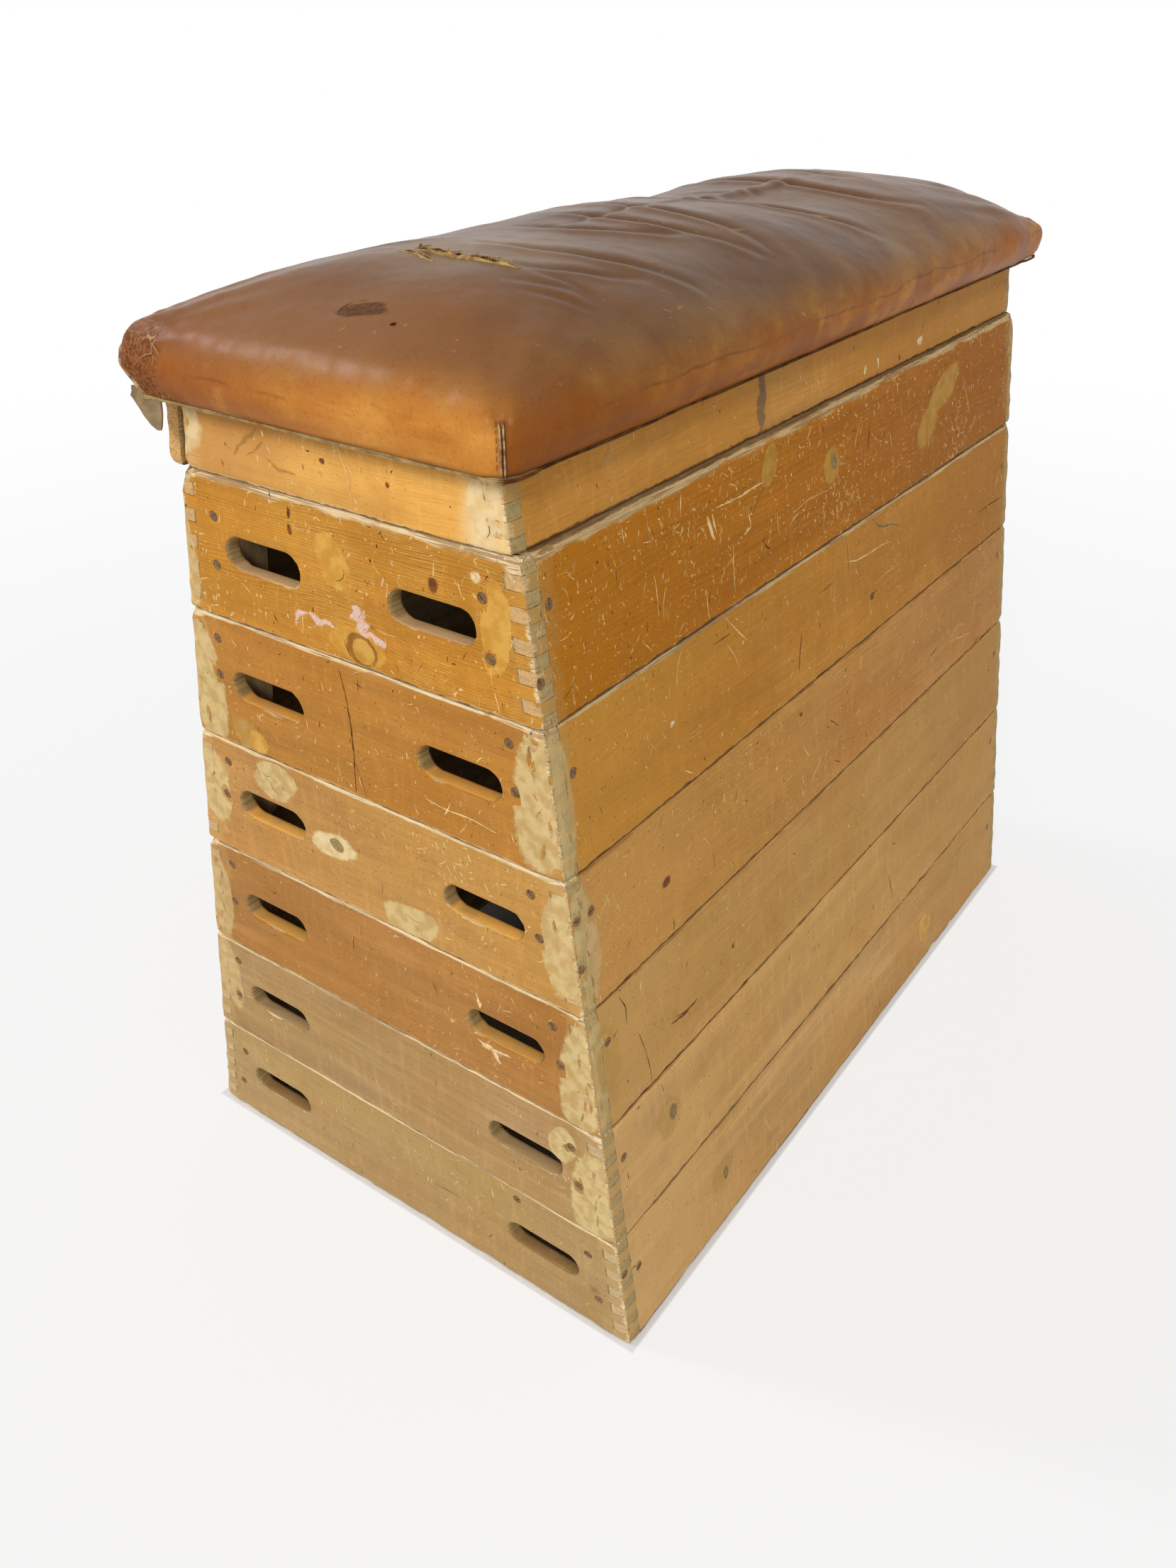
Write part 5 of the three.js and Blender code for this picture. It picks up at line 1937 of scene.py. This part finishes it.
# The tear in the hide: a slit whose suede lips have curled up, with loose fibres and a hole,
# and beside it a skinned oval where the grain has peeled off.
tear_path = ((-490, 40), (-492, 20), (-493, 4), (-495, -16), (-497, -42), (-494, -67), (-489, -104))
short_tear_path = ((-503, 52), (-506, 28), (-516, 2), (-522, -16))
tear_points = 44
above_hide = 0.13


def torn_lip(path, side, rise, wide, seed):
    """One curled lip of a tear: a thin strip of suede that stands up from the slit."""
    x, y = eased_path(path, tear_points).T
    sections = []
    for i in range(tear_points):
        before, after = max(i - 1, 0), min(i + 1, tear_points - 1)
        way = Vector((x[after] - x[before], y[after] - y[before], 0)).normalized()
        across = Vector((-way.y, way.x, 0)) * side
        taper = math.sin(math.pi * (0.03 + 0.94 * i / (tear_points - 1))) ** 0.6
        spot = (x[i], y[i], i * 0.001)
        lift = rise * taper * (0.75 + 0.45 * wander(spot, 0.012, seed))
        reach = wide * taper * (0.9 + 0.35 * wander(spot, 0.009, seed + 1))
        slit = 0.0004 + 0.0008 * taper * (1 + 0.6 * wander(spot, 0.02, seed + 2))
        base, _ = lay(hide, (x[i], y[i], lid_top + above_hide), up, 0.0, 0.1)
        foot = base + across * (slit + reach) - up * 0.0006
        middle = base + across * (slit + reach * 0.45) + up * lift * 0.75
        tip = base + across * (slit + reach * 0.05) + up * lift
        below = up * -0.0011 * (0.4 + 0.6 * taper)
        sections.append([
            foot, (foot + middle) / 2 + up * lift * 0.1, middle, tip,
            tip + below * 0.7, middle + below, (foot + middle) / 2 + below * 0.6, foot + below,
        ])
    return loft(sections)


lip_meshes = [
    torn_lip(tear_path, 1, 0.0060, 0.0058, 3),
    torn_lip(tear_path, -1, 0.0036, 0.0050, 9),
    torn_lip(short_tear_path, 1, 0.0026, 0.0038, 15),
    torn_lip(short_tear_path, -1, 0.0018, 0.0034, 19),
    torn_lip(((-482, 42), (-493, 24), (-506, 4)), 1, 0.0070, 0.0060, 23),
]
rng = random.Random(77)
strand_specs = [
    (rng.randrange(3, 40), rng.uniform(0, 2 * math.pi), rng.uniform(0.008, 0.022)) for _ in range(40)
]
slit_x, slit_y = eased_path(tear_path, tear_points).T
for spot, turn, length in strand_specs:
    root, _ = lay(hide, (slit_x[spot], slit_y[spot], lid_top + above_hide), up, 0.002, 0.1)
    way = Vector((math.cos(turn) * 0.5, math.sin(turn), 0))
    thread = []
    for step in range(7):
        t = step / 6
        heart = root + way * length * t + up * (0.0028 * math.sin(t * math.pi) + 0.001 * t)
        thread.append(circle(heart, way.cross(up), up, 0.0005 * (1 - 0.75 * t), 5))
    lip_meshes.append(loft(thread))
suede_finish = raw_leather_finish(
    "torn_suede", ((138, 102, 52), (192, 160, 96)), (70.0, 2.0, 0.65), (500.0, 3.0),
    ((96, 64, 30), 0.4), 0.9, 0.0008,
)
place_piece("tear_lips", joined(lip_meshes), suede_finish, "lid")


def hide_patch(points, faces, fades, middle, reach, lean, ragged, lift, seed):
    """An uneven disc laid on top of the hide, added to lists of points, faces and fades."""
    def wobble(out):
        return 1 + ragged * (wander((*out, seed), 0.8, seed) + 0.4 * wander((*out, 0), 0.25, seed))

    around = 40
    rows = []
    for share in (0.0, 0.3, 0.55, 0.75, 0.9, 1.0):
        row = []
        for x, y in disc_ring(middle, reach, lean, share, around, wobble):
            place, _ = lay(hide, (x / 1000, y / 1000, lid_top + 0.1), up, lift, 0.1)
            row.append(len(points))
            points.append(tuple(place))
            fades.append(1 - share)
        rows.append(row)
    for i in range(around):
        j = (i + 1) % around
        faces.append((rows[0][0], rows[1][i], rows[1][j]))
        for inner, outer in zip(rows[1:], rows[2:]):
            faces.append((inner[i], outer[i], outer[j], inner[j]))


# The hole by the tear and the puncture are not cut: dark discs laid on the hide are painted shade for the
# dark inside of each.
hide_marks = (
    ("peeled_grain", (-648, -32), (15, 33), 0.25, 0.16, 0.00025, "peel"),
    ("tear_hole", (-494, -16), (4.0, 10), 0.0, 0.3, 0.00035, "hole"),
    ("puncture", (-661, -84), (3.0, 4.0), 0.0, 0.3, 0.00025, "hole"),
)
peel_finish = mark_finish("peeled_hide", ((98, 64, 40), (122, 82, 52)), 0.7, 0.75, 0.3, 160.0)
hole_shade_finish = mark_finish("torn_hole", ((34, 20, 12), (60, 36, 22)), 0.9, 0.95, 0.3, 200.0)
for spot, (name, middle, reach, lean, ragged, lift, look) in enumerate(hide_marks):
    points, faces, fades = [], [], []
    hide_patch(points, faces, fades, middle, reach, lean, ragged, lift, 3 + spot)
    mesh = bpy.data.meshes.new(name)
    mesh.from_pydata(points, [], faces)
    note_points(mesh, "fade", fades)
    place_piece(name, mesh, peel_finish if look == "peel" else hole_shade_finish, "lid")
peel_rim = torn_lip(((-664, -12), (-652, -6), (-640, -8), (-630, -20), (-628, -34)), 1, 0.0012, 0.0022, 33)
place_piece("peeled_rim", peel_rim, suede_finish, "lid")


# The loose tab: the hide's folded corner has come untacked at the back left and hangs down,
# flesh side out. It is one thick flap of leather with a curled lower edge.
tab_low, tab_high = 0.2165, 0.2660
tab_root = -0.7150
tab_drops = (
    (0.0, 0.030), (0.06, 0.035), (0.16, 0.034), (0.38, 0.029),
    (0.62, 0.021), (0.84, 0.011), (1.0, 0.002),
)
tab_steps = 18
tab_rows = 12
tab_tuck = 0.007
tab_curl = 0.005
tab_thickness = 0.0022
layers = []
for face_side in (0, 1):
    layer = []
    for i in range(tab_steps + 1):
        u = i / tab_steps
        drop = np.interp(u, *zip(*tab_drops)) + 0.0006 * wander((u, 0, 0), 0.12, 6)
        column = []
        for k in range(tab_rows + 1):
            v = k / tab_rows
            z = lid_top + tab_tuck - (drop + tab_tuck) * v
            curl = tab_curl * v * v + 0.0012 * wander((u, v, 0), 0.5, 4)
            y_in = (0.5 - u) * 0.004 * v
            y = tab_low + (tab_high - tab_low) * u + y_in
            column.append((tab_root - curl - tab_thickness * face_side, y, z))
        layer.append(column)
    layers.append(layer)
tab = loft([fore + back[::-1] for fore, back in zip(*layers)])
flesh_finish = raw_leather_finish(
    "flesh_side_leather", ((122, 100, 68), (150, 126, 88)), (50.0, 3.0, 0.65), (600.0, 3.0),
    ((96, 74, 46), 0.3), 0.85, 0.0005,
)
place_piece("loose_tab", tab, flesh_finish, "lid")
